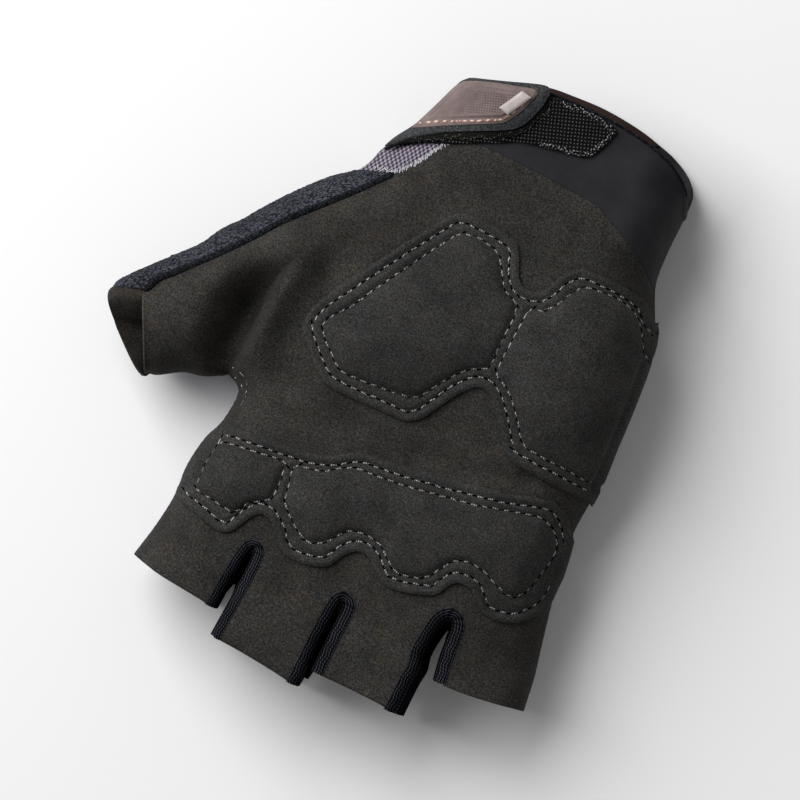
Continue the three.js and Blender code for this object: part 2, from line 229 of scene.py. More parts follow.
HYPOTHENAR_CELL: Points = (
    (17.1, 32), (17.8, 33.8), (20.4, 35), (22.4, 37.6), (24.4, 41.8), (26.3, 44.3), (29.5, 45),
    (33.5, 45.5), (37.6, 45.2), (41, 43.6), (43.6, 40.4), (47.2, 36.4), (53, 32), (56, 24),
    (56.4, 14), (55, 5.6), (50, 4.1), (42, 4), (34, 4.1), (31, 4.8), (28, 8), (24, 12.4),
    (21, 14.8), (18.2, 15.9), (17.3, 17.4), (17, 24))
KNUCKLE_TOP: Points = (
    (-35.9, -33), (-35.6, -28.6), (-34, -25.8), (-31, -24.5), (-26, -23.4), (-18, -22.2),
    (-12, -21), (-8, -19.3), (-4.8, -17), (-2, -15.5), (2, -14.6), (8, -13.7), (21, -10.9),
    (33, -7.7), (39, -5.4), (43, -4.4), (46.4, -5), (49.6, -7.4), (52.4, -11.2))
KNUCKLE_BOTTOM: Points = (
    (-36.5, -43.4), (-35.6, -45.6), (-30, -46.8), (-24.8, -47.9), (-22, -47.4), (-20.4, -45.6),
    (-19, -42.4), (-17.6, -40.2), (-16, -39.4), (-14, -39.9), (-11, -42.2), (-8.6, -44.6),
    (-5.6, -45.6), (-1, -45), (2.6, -43.6), (4, -42.2), (5.6, -39), (7.6, -36.8), (9.8, -36.3),
    (12, -37.2), (15, -39.6), (18, -40.7), (22.4, -40), (27.6, -38.1), (29.8, -36.4), (31.4, -33.2),
    (33.2, -31.9), (36, -31.9), (38.6, -33.8), (41.4, -35.7), (45.5, -35.6), (49.5, -33.9),
    (52.4, -30.6), (54, -26.8), (54.5, -22))
INDEX_CELL: Points = (
    (-33.4, -30.4), (-32.3, -29.2), (-29.5, -28.2), (-23, -26.9), (-18, -26.1), (-16.7, -27.4),
    (-16.1, -34.6), (-17.6, -36.6), (-20.4, -38.6), (-21.6, -41), (-23.4, -42.3), (-28, -42),
    (-32.6, -41.4), (-33.6, -38), (-33.8, -34))
LONG_CELL: Points = (
    (-14.7, -27), (-14.2, -25.4), (-11, -24.6), (-8, -23.4), (-5, -21.2), (-2.2, -19.6), (2, -18.9),
    (8, -18.1), (14, -16.9), (21, -15.3), (27, -14), (33, -12.1), (39, -10.1), (42.6, -9.2),
    (45.8, -9.9), (48.6, -12.4), (49.6, -16), (48.8, -22), (47.4, -27.3), (44.6, -29.1),
    (41, -28.2), (37.5, -27), (34, -26.5), (31.6, -26.8), (29.3, -28.2), (27.4, -31.2),
    (25.6, -34.2), (22, -36.1), (18.5, -36.7), (15.3, -35), (12, -32.8), (8, -32.2), (4.6, -33),
    (2.2, -35.4), (0.8, -37.6), (-1.4, -39.3), (-4, -40.1), (-7, -39), (-9.8, -37), (-12.4, -35),
    (-13.6, -32))
CUFF_END_NEAR: Points = (
    (-23.4, 71.6), (-20, 74.4), (-12, 78.2), (-4, 81.2), (3, 82.2), (11, 82.6), (20, 82.3),
    (26, 81.4), (31, 80), (35.4, 77.6), (38.2, 75), (40.1, 71.2))
BADGE_ROW: Points = (
    (-28.0, 60.2), (-26.4, 61.2), (-22, 63.8), (-17, 66.5), (-12, 69.3), (-9.9, 70.8), (-8.7, 72.7),
    (-7.7, 75.1), (-6.7, 77.6), (-6.2, 79.2))
PATCH_SEAM: Points = ((-17.4, 61.4), (-20, 57), (-23, 51.5), (-26.3, 47.6))
FRINGE_ROWS: tuple[Points, ...] = (
    ((-18, 60.6), (-20.3, 57.2), (-23.2, 51.7), (-26.6, 47.4)),
    ((-26.8, 47.5), (-29.2, 47.1), (-31.8, 46.1)))
CROTCH_ROWS: tuple[Points, ...] = (
    ((-40.2, -12), (-38.2, -11.6), (-36, -12.3), (-34.4, -13.6), (-33.4, -15.6), (-32.8, -18),
     (-33.2, -21)),
    ((-38.6, -13.6), (-36.4, -13.9), (-35, -14.8), (-34.4, -16.4)))
TAPE_SIDES: tuple[Points, ...] = (
    ((-31.6, 51.6), (-29, 55.2), (-24, 57.6), (-18, 60), (-12, 63.3), (-8, 65.4), (-4, 67.8), (0, 69),
     (5, 70.2), (11, 71.6)),
    ((11, 71.6), (12.9, 72.8), (14.2, 75.2), (15.1, 78), (15.9, 80.8)),
    ((-22.4, 70), (-14, 77), (-6, 80), (0, 81.3), (5, 82), (10, 82.2), (14, 81.8), (15.9, 80.8)),
    ((-31.6, 51.6), (-28.6, 58), (-25, 66), (-22.4, 70)))
TAB_SIDES: tuple[Points, ...] = (
    ((-31.9, 52.2), (-29.6, 55), (-27, 57.4), (-22, 61), (-17, 63.8), (-12, 66.5), (-8, 68.8),
     (-6.4, 70)),
    ((-6.4, 70), (-5.2, 71.3), (-4.3, 73), (-3.4, 75.6), (-2.8, 78.6), (-2.7, 81.2)),
    ((-21.6, 76), (-20, 76.7), (-17, 77.8), (-12, 79.8), (-8, 81.5), (-5, 82.6), (-3.4, 82.6),
     (-2.7, 81.2)),
    ((-31.9, 52.2), (-30.6, 55.4), (-28, 60), (-26, 65), (-24.3, 70), (-23.2, 74), (-21.6, 76)))
BADGE_SIDES: tuple[Points, ...] = (
    ((-28.2, 59.1), (-25.4, 60.7), (-22, 62.7), (-17, 65.6), (-12, 68.4), (-9.3, 70)),
    ((-9.3, 70), (-8.2, 71.6), (-7, 74), (-6, 77), (-5.3, 79.9)),
    ((-22.4, 74.6), (-20, 75.9), (-15, 77.9), (-10, 79.5), (-6.4, 80.7), (-5.3, 79.9)),
    ((-28.2, 59.1), (-27.0, 62.6), (-25.2, 68), (-23.8, 72.4), (-22.4, 74.6)))
TILE_SIDES: tuple[Points, ...] = (
    ((-11.9, 72.8), (-9.2, 72.2)), ((-9.2, 72.2), (-6.2, 78.5)), ((-8.9, 78.9), (-6.2, 78.5)),
    ((-11.9, 72.8), (-8.9, 78.9)))


@dataclass(frozen=True)
class Slit:
    """One slit between two fingers, bound with corded tape.

    Args:
        left: upper edge of the side wall on the -X side, from the crotch to the opening.
        right: upper edge of the side wall on the +X side.
        foot_left: how far the wall's foot stands out from its upper edge on the -X side.
        foot_right: the same on the +X side.
        band: width of the bound edge on the palm.
        apex: highest point of the bound edge.
        gap: y where the two walls part, seen from above.
    """

    left: Points
    right: Points
    foot_left: float
    foot_right: float
    band: float
    apex: Pair
    gap: float

    def path(self, step: float = 0.35) -> Array:
        """Runs from one opening up round the crotch and down to the other opening."""
        return smooth_line(list(self.left)[::-1] + list(self.right), step)

    def border(self, side: int, y: Array) -> Array:
        """Gives x of the palm's edge on one side, the path moved out by the band.

        Above the apex both sides share the line under it. Below, the edge swings out as a
        quarter of an ellipse and then follows the finger's edge.

        Args:
            side: -1 for the finger on the -X side, 1 for the other.
            y: places along the finger.

        Returns:
            x of the edge at each place.
        """
        edge = np.asarray(self.left if side < 0 else self.right, float)[::-1]
        finger = np.interp(y, edge[:, 1], edge[:, 0])
        drop = np.clip((self.apex[1] - y) / (1.6 * self.band), 0, 1)
        swing = np.sqrt(1 - (1 - drop)**2)
        return self.apex[0] * (1 - swing) + (finger + side * self.band) * swing


SLITS = {
    "index_middle": Slit(((-14.6, -48.4), (-15, -50), (-15.4, -54), (-15.6, -59), (-15.7, -65)),
                         ((-14.0, -48.4), (-13.7, -50), (-13.5, -54), (-13.6, -60), (-13.8, -70.9)),
                         0.5, 0.1, 2.1, (-14.3, -46.3), -58.0),
    "middle_ring": Slit(((10.5, -49.6), (10.2, -51.5), (10.1, -56), (10.2, -62), (10.5, -72.2)),
                        ((11.0, -49.6), (11.3, -51.5), (11.3, -56), (11.4, -61), (11.6, -67.2)),
                        0.5, 0.0, 2.5, (10.7, -47.2), -70.0),
    "ring_little": Slit(((34.9, -41.0), (33.9, -42.6), (33.5, -46), (33.3, -51), (34.2, -54.6),
                         (34, -59), (34.2, -67)),
                        ((35.9, -41.0), (36.7, -42.6), (37.1, -46), (37.6, -50), (38.8, -55.7)),
                        2.4, 0.2, 2.5, (35.3, -38.6), -43.8),
}


@dataclass(frozen=True)
class Fold:
    """A crease pressed into the form along a line.

    Args:
        line: where it runs.
        depth: how deep it is at its middle.
        width: how far it spreads on each side.
    """

    line: Points
    depth: float
    width: float


FOLDS = (
    Fold(((-36, -20), (-28, -17.5), (-17, -14), (-6, -11)), 0.9, 3.2),
    Fold(((-30, -9), (-20, -8.2), (-8, -9.6)), 0.55, 2.6),
    Fold(((10, -9.6), (22, -7.4), (36, -2.6)), 1.1, 2.6),
    Fold(((-57, 2), (-50, 10), (-43, 20)), -0.5, 5.0),
    Fold(((-34, 30), (-28, 20), (-26, 10)), 0.7, 4.0),
    Fold(((-46, -12), (-48, -4), (-48, 6)), 0.7, 3.0),
    Fold(((44, 54), (36, 53), (26, 54)), 0.7, 2.6),
    Fold(((50, -2), (42, -1.6), (35, -2.6)), 0.6, 1.8),
    Fold(((-62, -1), (-66.5, -6), (-72, -8)), 4.0, 6.0),
    Fold(((-62, 1), (-54, 5.4), (-45, 10.4)), -2.6, 8.6),
    Fold(((-38, 17), (-38.6, 6), (-38, -4), (-36, -12)), -1.5, 4.6),
    Fold(((-28, 26), (-29.5, 12), (-30, 0), (-27, -10)), 1.5, 4.2),
)


@dataclass
class HandForm:
    """The soft form of the mitt as a height over the plan.

    The palm side is a crown height over the plan, times one roll-off for each side of the hand,
    so it falls to the side seam along every outer edge and slit. The back is the same with its
    own lower crown, which is flat where the mitt lies.

    Args:
        seam: height of the side seam.
        hand_roll: width of the rounding along the hand's little-finger side.
        outer_roll: its most along the thumb's side.
        digit_roll: its width on the fingers and the thumb.
        slit_roll: its width along the slits on the palm.
        under_roll: its width on the back.
        under_slit: its width along the slits on the back.
        under_fill: factor of the rounding on the back.
        slit_drop: share of the height lost at a slit.
        squareness: power of the rounding, where 2 is a quarter of an ellipse.
        fingers: -y over which the palm turns into fingers.
        thumb: -x over which it turns into the thumb.
        wrist: y over which it turns into the wrist.
        wrist_share: share of the digits' rounding at the wrist.
        finger_lift: height of the fingers' back at their ends.
        thumb_lift: height of the thumb's back at its end.
        web_depth: depth of the hollow between the thumb and the palm.
        web_near: width of the hollow towards the palm.
        web_far: its width towards the thumb.
        steepest: slope that a lifted place follows at most.
        tries: rounds to find a place seen from above.
        try_share: share of the miss that each round makes up.
        side_gap: least distance of a lifted place from the outer side.
        crown_rows: y and height of the palm's middle.
        mounds: x, y, both widths and height of each mound.
        sides: the drawn side lines, by name.
    """

    seam: float = 13.0
    hand_roll: float = 24.0
    outer_roll: float = 15.0
    digit_roll: float = 13.0
    slit_roll: float = 3.4
    under_roll: float = 11.0
    under_slit: float = 7.0
    under_fill: float = 1.04
    slit_drop: float = 0.26
    squareness: float = 2.15
    fingers: Pair = (28.0, 48.0)
    thumb: Pair = (34.0, 52.0)
    wrist: Pair = (46.0, 58.0)
    wrist_share: float = 0.8
    finger_lift: float = 4.0
    thumb_lift: float = 7.0
    web_depth: float = 13.0
    web_near: float = 1.9
    web_far: float = 6.5
    steepest: float = 2.5
    tries: int = 8
    try_share: float = 0.65
    side_gap: float = 0.15
    crown_rows: Points = (
        (-90, 31.0), (-72, 29.6), (-60, 28.6), (-48, 28.8), (-38, 30.4), (-26, 31.8), (-14, 32.2),
        (0, 33.2), (14, 35.6), (30, 37.4), (42, 37.4), (51, 36.2), (60, 35.2), (72, 34.4), (90, 33.6))
    mounds: tuple[tuple[float, float, float, float, float], ...] = (
        (-12, 20, 20, 22, 1.6), (30, 22, 14, 24, 1.5), (10, -5, 24, 10, -1.6), (-62, -8, 16, 18, -2.6),
        (52, -46, 10, 12, -2.6), (-38, 24, 12, 18, 0.8))
    sides: dict[str, Array] = field(default_factory=dict)

    def __post_init__(self) -> None:
        """Draws the sides, the slits, the folds and the crown once."""
        self.sides = {
            "ulnar": smooth_line(ULNAR_SIDE, 1.5),
            "outer": smooth_line(OUTER_SIDE, 1.5),
            "web": smooth_line(WEB_SIDE, 1.2),
        }
        self.slits = [slit.path(1.0) for slit in SLITS.values()]
        self.folds = [(smooth_line(fold.line, 1.5), fold) for fold in FOLDS]
        self.crown = smooth_line(self.crown_rows, 0.5)
        self.web = smooth_line(PALM_LEFT[4:], 0.8)

    def roll_off(self, x: Array, y: Array, wide: float, slit: float) -> Array:
        """Falls from 1 inside to 0 at the sides, as the rim of a rounded box does.

        Args:
            x: plan places.
            y: plan places.
            wide: width of the rounding along the hand's sides.
            slit: width of the rounding along the slits.

        Returns:
            The share of the full height at each place.
        """
        digits = np.maximum(ease(-y, *self.fingers), ease(-x, *self.thumb))
        narrow = np.maximum(digits, self.wrist_share * ease(y, *self.wrist))
        reach = wide + (self.digit_roll - wide) * narrow
        power = self.squareness
        product = np.ones_like(x)
        spans = [(self.sides["ulnar"], reach),
                 (self.sides["outer"], np.minimum(reach, self.outer_roll)),
                 (self.sides["web"], np.minimum(reach, self.digit_roll))]
        for line, width in spans:
            inward = 1 - np.clip(distance(x, y, line) / width, 0, 1)
            product = product * (1 - inward**power)**(1 / power)
        for path in self.slits:
            inward = 1 - np.clip(distance(x, y, path) / slit, 0, 1)
            product = product * (1 - self.slit_drop * (1 - (1 - inward**power)**(1 / power)))
        return product

    def pressed(self, x: Array, y: Array) -> Array:
        """Adds up the folds, each a bell across its line that fades towards its ends.

        Args:
            x: plan places.
            y: plan places.

        Returns:
            How far the palm is pressed in at each place.
        """
        total = np.zeros_like(x)
        for line, fold in self.folds:
            away = distance(x, y, line)
            total += fold.depth * np.exp(-(away / fold.width)**2)
        side = x - np.interp(y, self.web[::-1, 1], self.web[::-1, 0])
        width = np.where(side > 0, self.web_near, self.web_far)
        deep = self.web_depth * ease(-y, -22, -2) * ease(y, -20, -11)
        return total + deep * np.exp(-(side / width)**2)

    def top(self, x: Array, y: Array) -> Array:
        """Gives the height of the palm side.

        Args:
            x: plan places.
            y: plan places.

        Returns:
            z of the palm side.
        """
        crown = np.interp(y, self.crown[:, 0], self.crown[:, 1])
        for mx, my, rx, ry, height in self.mounds:
            crown = crown + height * np.exp(-((x - mx) / rx)**2 - ((y - my) / ry)**2)
        rolled = self.roll_off(x, y, self.hand_roll, self.slit_roll)
        return self.seam + (crown - self.seam - self.pressed(x, y)) * rolled

    def under(self, x: Array, y: Array) -> Array:
        """Gives the height of the back, zero where it lies flattened.

        Args:
            x: plan places.
            y: plan places.

        Returns:
            z of the back.
        """
        lift = self.finger_lift * ease(-y, 40, 66) + self.thumb_lift * ease(-x, 44, 74)
        rolled = self.roll_off(x, y, self.under_roll, self.under_slit)
        return self.seam - (self.seam - lift) * np.minimum(1.0, rolled * self.under_fill)

    def settled(self, x: Array, y: Array, height: Array) -> Array:
        """Keeps places within a tenth of a millimetre of the sides at the seam's own height."""
        near = np.minimum.reduce([distance(x, y, line) for line in self.sides.values()])
        return np.where(near < 0.1, self.seam, height)

    def lifted(self, x: Array, y: Array, amount: Array | float) -> Array:
        """Finds points above the palm side, moved out along its slope.

        Args:
            x: plan places.
            y: plan places.
            amount: distance out from the surface.

        Returns:
            An array whose last axis holds x, y and z.
        """
        tiny = 0.08
        z = self.top(x, y)
        slope_x = (self.top(x + tiny, y) - z) / tiny
        slope_y = (self.top(x, y + tiny) - z) / tiny
        slope_x, slope_y = (np.clip(slope, -self.steepest, self.steepest) for slope in (slope_x, slope_y))
        reach = amount / np.sqrt(1 + slope_x**2 + slope_y**2)
        return np.stack([x - slope_x * reach, y - slope_y * reach, z + reach], -1)

    def seen(self, x: Array, y: Array, amount: Heights) -> Array:
        """Finds lifted points that stand over given plan places, seen from straight above.

        The foot of each is moved a few times by about two thirds of what its lift still misses.

        Args:
            x: plan places that the points shall stand over.
            y: plan places.
            amount: lift over the form at a plan place.

        Returns:
            An array whose last axis holds x, y and z.
        """
        foot_x, foot_y = x.copy(), y.copy()
        raised = amount(x, y)
        side = self.sides["outer"]
        for _ in range(self.tries):
            points = self.lifted(foot_x, foot_y, raised)
            foot_x = foot_x + self.try_share * (x - points[..., 0])
            foot_y = foot_y + self.try_share * (y - points[..., 1])
            edge = np.interp(foot_y, side[::-1, 1], side[::-1, 0])
            foot_x = np.maximum(foot_x, edge + self.side_gap)
        return self.lifted(foot_x, foot_y, raised)


FORM = HandForm()


# Meshes

def to_frame(points: Array) -> Array:
    """Moves plan millimetres to the frame's metres.

    Args:
        points: places whose last axis holds x, y and z.

    Returns:
        The same places in metres.
    """
    moved = np.array(points, float).reshape(-1, 3)
    moved[:, :2] += PLAN_ZERO
    return moved * MM


def grid_faces(rows: int, columns: int, closed: bool = False, offset: int = 0) -> Array:
    """Lists the quads of a grid of points, row by row, closed round the columns if asked.

    Args:
        rows: rows of the grid.
        columns: columns of the grid.
        closed: whether the last column joins the first.
        offset: number of the grid's first point.

    Returns:
        Four point numbers a row.
    """
    index = np.arange(rows * columns).reshape(rows, columns) + offset
    if closed:
        index = np.column_stack([index, index[:, :1]])
    quads = np.stack([index[:-1, :-1], index[:-1, 1:], index[1:, 1:], index[1:, :-1]], -1)
    return quads.reshape(-1, 4)


def make_mesh(name: str, points: Array, faces: Array) -> Piece:
    """Makes an object of plan points and quads, with its doubles merged and faces outward.

    Args:
        name: name of the piece.
        points: plan places in millimetres, one row each.
        faces: four point numbers a row.

    Returns:
        The piece.
    """
    mesh = bpy.data.meshes.new(name)
    corners = np.ascontiguousarray(faces, dtype=np.int32)
    mesh.vertices.add(len(points))
    mesh.vertices.foreach_set("co", to_frame(points).astype(np.float32).ravel())
    mesh.loops.add(corners.size)
    mesh.loops.foreach_set("vertex_index", corners.ravel())
    mesh.polygons.add(len(corners))
    mesh.polygons.foreach_set("loop_start", np.arange(0, corners.size, 4, dtype=np.int32))
    mesh.polygons.foreach_set("use_smooth", np.ones(len(corners), dtype=bool))
    mesh.update(calc_edges=True)
    mesh.validate()
    piece = bpy.data.objects.new(name, mesh)
    bpy.context.collection.objects.link(piece)
    return piece


def weld(piece: Piece, near: float = 2e-5) -> None:
    """Merges doubles and drops faces that have shrunk to a line.

    Args:
        piece: the mesh to mend.
        near: metres within which points become one.
    """
    shape = bmesh.new()
    shape.from_mesh(piece.data)
    bmesh.ops.remove_doubles(shape, verts=shape.verts, dist=near)
    bmesh.ops.dissolve_degenerate(shape, edges=shape.edges, dist=near / 4)
    shape.to_mesh(piece.data)
    shape.free()


def joined(name: str, grids: Sequence[Array], turned: bool = True) -> Piece:
    """Makes one welded sheet of grids of points.

    Args:
        name: name of the piece.
        grids: points of each grid, rows by columns.
        turned: whether the faces run the other way round.

    Returns:
        The piece.
    """
    faces, count = [], 0
    for grid in grids:
        faces.append(grid_faces(*grid.shape[:2], offset=count))
        count += grid.shape[0] * grid.shape[1]
    order = np.vstack(faces)
    points = np.vstack([grid.reshape(-1, 3) for grid in grids])
    piece = make_mesh(name, points, order[:, ::-1] if turned else order)
    weld(piece)
    return piece


def thicken(piece: Piece, millimetres: float) -> None:
    """Gives a sheet its wall inwards.

    Args:
        piece: a sheet whose faces look outward.
        millimetres: thickness of the wall.
    """
    solid = piece.modifiers.new("wall", "SOLIDIFY")
    solid.thickness = millimetres * MM
    solid.offset = -1
    solid.use_even_offset = False


# Finishes

COLOUR_STOPS = (0.36, 0.50, 0.66)  # pattern values of the deep, the main and the light colour
MOTTLE_SIZE = 9.0  # millimetres across a lighter or darker patch
MOTTLE = ((0.30, (0.72, 0.72, 0.72)), (0.70, (1.22, 1.20, 1.17)))
TINT_SIZE = 3.4  # millimetres across a warmer or cooler patch
TINT_STOPS = (0.36, 0.64)
SHEEN_ROUGHNESS = 0.5
NOISE_ROUGHNESS = 0.62
BUMP_STRENGTH = 0.8


class Weave(Enum):
    """How a finish is patterned."""

    SUEDE = "suede"
    TERRY = "terry"
    KNIT = "knit"
    TWILL = "twill"
    RIB = "rib"
    LOOPS = "loops"
    MOULDED = "moulded"
    THREAD = "thread"


@dataclass(frozen=True)
class Finish:
    """One material of the mitt.

    Args:
        name: name of the material.
        weave: kind of pattern.
        base: main colour, linear.
        deep: colour in the low parts of the pattern; on the slit binding it is painted shade in the
            grooves between the cords.
        light: colour of the worn or raised parts; on the slit binding it is a painted highlight on the
            cords' tops.
        roughness: of the surface.
        grain: size of the pattern in millimetres.
        bump: height of the pattern in millimetres.
        sheen: strength of the fuzzy rim light.
        gloss: specular level.
        tint: how far its hue wanders between brown and blue, as a share.
    """

    name: str
    weave: Weave
    base: Triple
    deep: Triple
    light: Triple
    roughness: float
    grain: float
    bump: float
    sheen: float = 0.0
    gloss: float = 0.12
    tint: float = 0.0

    @property
    def title(self) -> str:
        """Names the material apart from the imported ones."""
        return "dressed_" + self.name

    def material(self) -> bpy.types.Material:
        """Builds the node tree, with colour and bump from the weave's pattern.

        Returns:
            The material, named by the finish's title.
        """
        material = bpy.data.materials.new(self.title)
        material.use_nodes = True
        tree = material.node_tree
        shader = tree.nodes["Principled BSDF"]
        shader.inputs["Roughness"].default_value = self.roughness
        shader.inputs["Sheen Weight"].default_value = self.sheen
        shader.inputs["Sheen Roughness"].default_value = SHEEN_ROUGHNESS
        shader.inputs["Specular IOR Level"].default_value = self.gloss
        place = tree.nodes.new("ShaderNodeTexCoord")
        pattern = self.pattern(tree, place.outputs["Object"])
        mottle = self.noise(tree, place.outputs["Object"], 1 / (MOTTLE_SIZE * MM), 3)
        fine = self.ramp(tree, pattern, *zip(COLOUR_STOPS, (self.deep, self.base, self.light)))
        shade = self.ramp(tree, mottle, *MOTTLE)
        colour = self.multiplied(tree, fine, shade)
        if self.tint:
            wander = self.noise(tree, place.outputs["Object"], 1 / (TINT_SIZE * MM), 2)
            warm, cool = (1 + self.tint, 1.0, 1 - self.tint), (1 - self.tint, 1.0, 1 + self.tint)
            hue = self.ramp(tree, wander, *zip(TINT_STOPS, (warm, cool)))
            colour = self.multiplied(tree, colour, hue)
        tree.links.new(colour, shader.inputs["Base Color"])
        bump = tree.nodes.new("ShaderNodeBump")
        bump.inputs["Strength"].default_value = BUMP_STRENGTH
        bump.inputs["Distance"].default_value = self.bump * MM
        tree.links.new(pattern, bump.inputs["Height"])
        tree.links.new(bump.outputs["Normal"], shader.inputs["Normal"])
        return material

    def pattern(self, tree: Tree, place: Socket) -> Socket:
        """Chooses the height pattern: grain, loops, ribs or knit.

        Args:
            tree: the node tree.
            place: the pattern's coordinates.

        Returns:
            The pattern's height from 0 to 1.
        """
        scale = 1 / (self.grain * MM)
        if self.weave in (Weave.SUEDE, Weave.MOULDED):
            return self.noise(tree, place, scale, 4)
        if self.weave is Weave.THREAD:
            return self.wave(tree, place, scale, 0.0, 2.0)
        if self.weave is Weave.TWILL:
            wave = self.wave(tree, place, scale, -68.0, 0.3)
            return self.blend(tree, wave, self.noise(tree, place, scale * 1.3, 2), 0.35)
        if self.weave is Weave.RIB:
            # The raised attribute carries the cords' height and also their painted highlight and painted
            # shade.
            raised = tree.nodes.new("ShaderNodeAttribute")
            raised.attribute_name = "raised"
            return self.blend(tree, raised.outputs["Fac"], self.noise(tree, place, scale, 2), 0.2)
        if self.weave is Weave.KNIT:
            across = self.wave(tree, place, scale, 30.0, 1.2)
            along = self.wave(tree, place, scale * 0.8, -40.0, 1.2)
            return self.blend(tree, across, along, 0.5)
        if self.weave is Weave.LOOPS:
            along, across = (self.wave(tree, place, scale, turn, 1.0) for turn in (-22.0, 68.0))
            knots = tree.nodes.new("ShaderNodeMath")
            knots.operation = "MULTIPLY"
            tree.links.new(along, knots.inputs[0])
            tree.links.new(across, knots.inputs[1])
            return self.blend(tree, knots.outputs[0], self.noise(tree, place, scale * 1.5, 2), 0.25)
        cells = tree.nodes.new("ShaderNodeTexVoronoi")
        cells.inputs["Scale"].default_value = scale
        tree.links.new(place, cells.inputs["Vector"])
        invert = tree.nodes.new("ShaderNodeMath")
        invert.operation = "SUBTRACT"
        invert.inputs[0].default_value = 1.0
        tree.links.new(cells.outputs["Distance"], invert.inputs[1])
        return self.blend(tree, invert.outputs[0], self.noise(tree, place, scale * 1.6, 2), 0.4)

    @staticmethod
    def noise(tree: Tree, place: Socket, scale: float, detail: int) -> Socket:
        """Adds a noise of features one over scale across.

        Args:
            tree: the node tree.
            place: the pattern's coordinates.
            scale: features in a metre.
            detail: finer layers on top.

        Returns:
            The noise's value.
        """
        node = tree.nodes.new("ShaderNodeTexNoise")
        node.inputs["Scale"].default_value = scale
        node.inputs["Detail"].default_value = detail
        node.inputs["Roughness"].default_value = NOISE_ROUGHNESS
        tree.links.new(place, node.inputs["Vector"])
        return node.outputs["Fac"]

    @staticmethod
    def wave(tree: Tree, place: Socket, scale: float, turn: float, bend: float) -> Socket:
        """Adds parallel ribs turned about Z by some degrees.

        Args:
            tree: the node tree.
            place: the pattern's coordinates.
            scale: ribs in a metre.
            turn: angle in degrees.
            bend: how far the ribs waver.

        Returns:
            The ribs' value.
        """
        turned = tree.nodes.new("ShaderNodeMapping")
        turned.inputs["Rotation"].default_value = (0, 0, math.radians(turn))
        tree.links.new(place, turned.inputs["Vector"])
        node = tree.nodes.new("ShaderNodeTexWave")
        node.inputs["Scale"].default_value = scale / 10 * math.pi
        node.inputs["Distortion"].default_value = bend
        node.inputs["Detail"].default_value = 1.0
        node.inputs["Detail Scale"].default_value = 2.0
        tree.links.new(turned.outputs["Vector"], node.inputs["Vector"])
        return node.outputs["Fac"]

    @staticmethod
    def blend(tree: Tree, first: Socket, second: Socket, share: float) -> Socket:
        """Mixes two patterns.

        Args:
            tree: the node tree.
            first: one pattern.
            second: the other.
            share: how much of the second is taken.

        Returns:
            The mixed value.
        """
        node = tree.nodes.new("ShaderNodeMix")
        node.inputs[0].default_value = share
        tree.links.new(first, node.inputs[2])
        tree.links.new(second, node.inputs[3])
        return node.outputs[0]

    @staticmethod
    def multiplied(tree: Tree, first: Socket, second: Socket) -> Socket:
        """Multiplies two colours.

        Args:
            tree: the node tree.
            first: one colour.
            second: the other.

        Returns:
            Their product.
        """
        node = tree.nodes.new("ShaderNodeMix")
        node.data_type = "RGBA"
        node.blend_type = "MULTIPLY"
        node.inputs[0].default_value = 1.0
        tree.links.new(first, node.inputs[6])
        tree.links.new(second, node.inputs[7])
        return node.outputs[2]

    @staticmethod
    def ramp(tree: Tree, value: Socket, *stops: tuple[float, Triple]) -> Socket:
        """Turns a pattern into colours.

        Args:
            tree: the node tree.
            value: the pattern.
            stops: places from 0 to 1 with their colours.

        Returns:
            The colour.
        """
        node = tree.nodes.new("ShaderNodeValToRGB")
        elements = node.color_ramp.elements
        while len(elements) < len(stops):
            elements.new(0.5)
        for element, (position, colour) in zip(elements, stops):
            element.position = position
            element.color = (*colour, 1)
        tree.links.new(value, node.inputs["Fac"])
        return node.outputs["Color"]


SUEDE = Finish("palm_suede", Weave.SUEDE, (0.0285, 0.0268, 0.0248), (0.0125, 0.0117, 0.0107),
               (0.059, 0.056, 0.0515), 0.97, 0.4, 0.16, tint=0.055)
# Darker and browner than the palm suede: the brown hue is the inner face's own colour, and the darkening
# is painted shade on that inner face.
LIP_SUEDE_PAINTED_SHADE = Finish("lip_suede_painted_shade", Weave.SUEDE, (0.0255, 0.0225, 0.02), (0.012, 0.0105, 0.0095),
                   (0.048, 0.043, 0.038), 0.97, 0.4, 0.14, tint=0.05)
PAD_SUEDE = Finish("pad_suede", Weave.SUEDE, (0.03, 0.0298, 0.0288), (0.0135, 0.0134, 0.013),
                   (0.062, 0.0615, 0.0595), 0.96, 0.38, 0.14, tint=0.035)
CUFF_CLOTH = Finish("cuff_cloth", Weave.TWILL, (0.019, 0.0188, 0.0222), (0.0135, 0.0133, 0.016),
                    (0.0262, 0.026, 0.0305), 0.8, 0.42, 0.03)
TERRY = Finish("thumb_terry", Weave.TERRY, (0.022, 0.0242, 0.0315), (0.005, 0.0055, 0.0075),
               (0.064, 0.07, 0.089), 1.0, 0.72, 0.55)
KNIT = Finish("back_knit", Weave.KNIT, (0.117, 0.099, 0.136), (0.04, 0.031, 0.048),
              (0.265, 0.246, 0.298), 0.9, 0.8, 0.25)
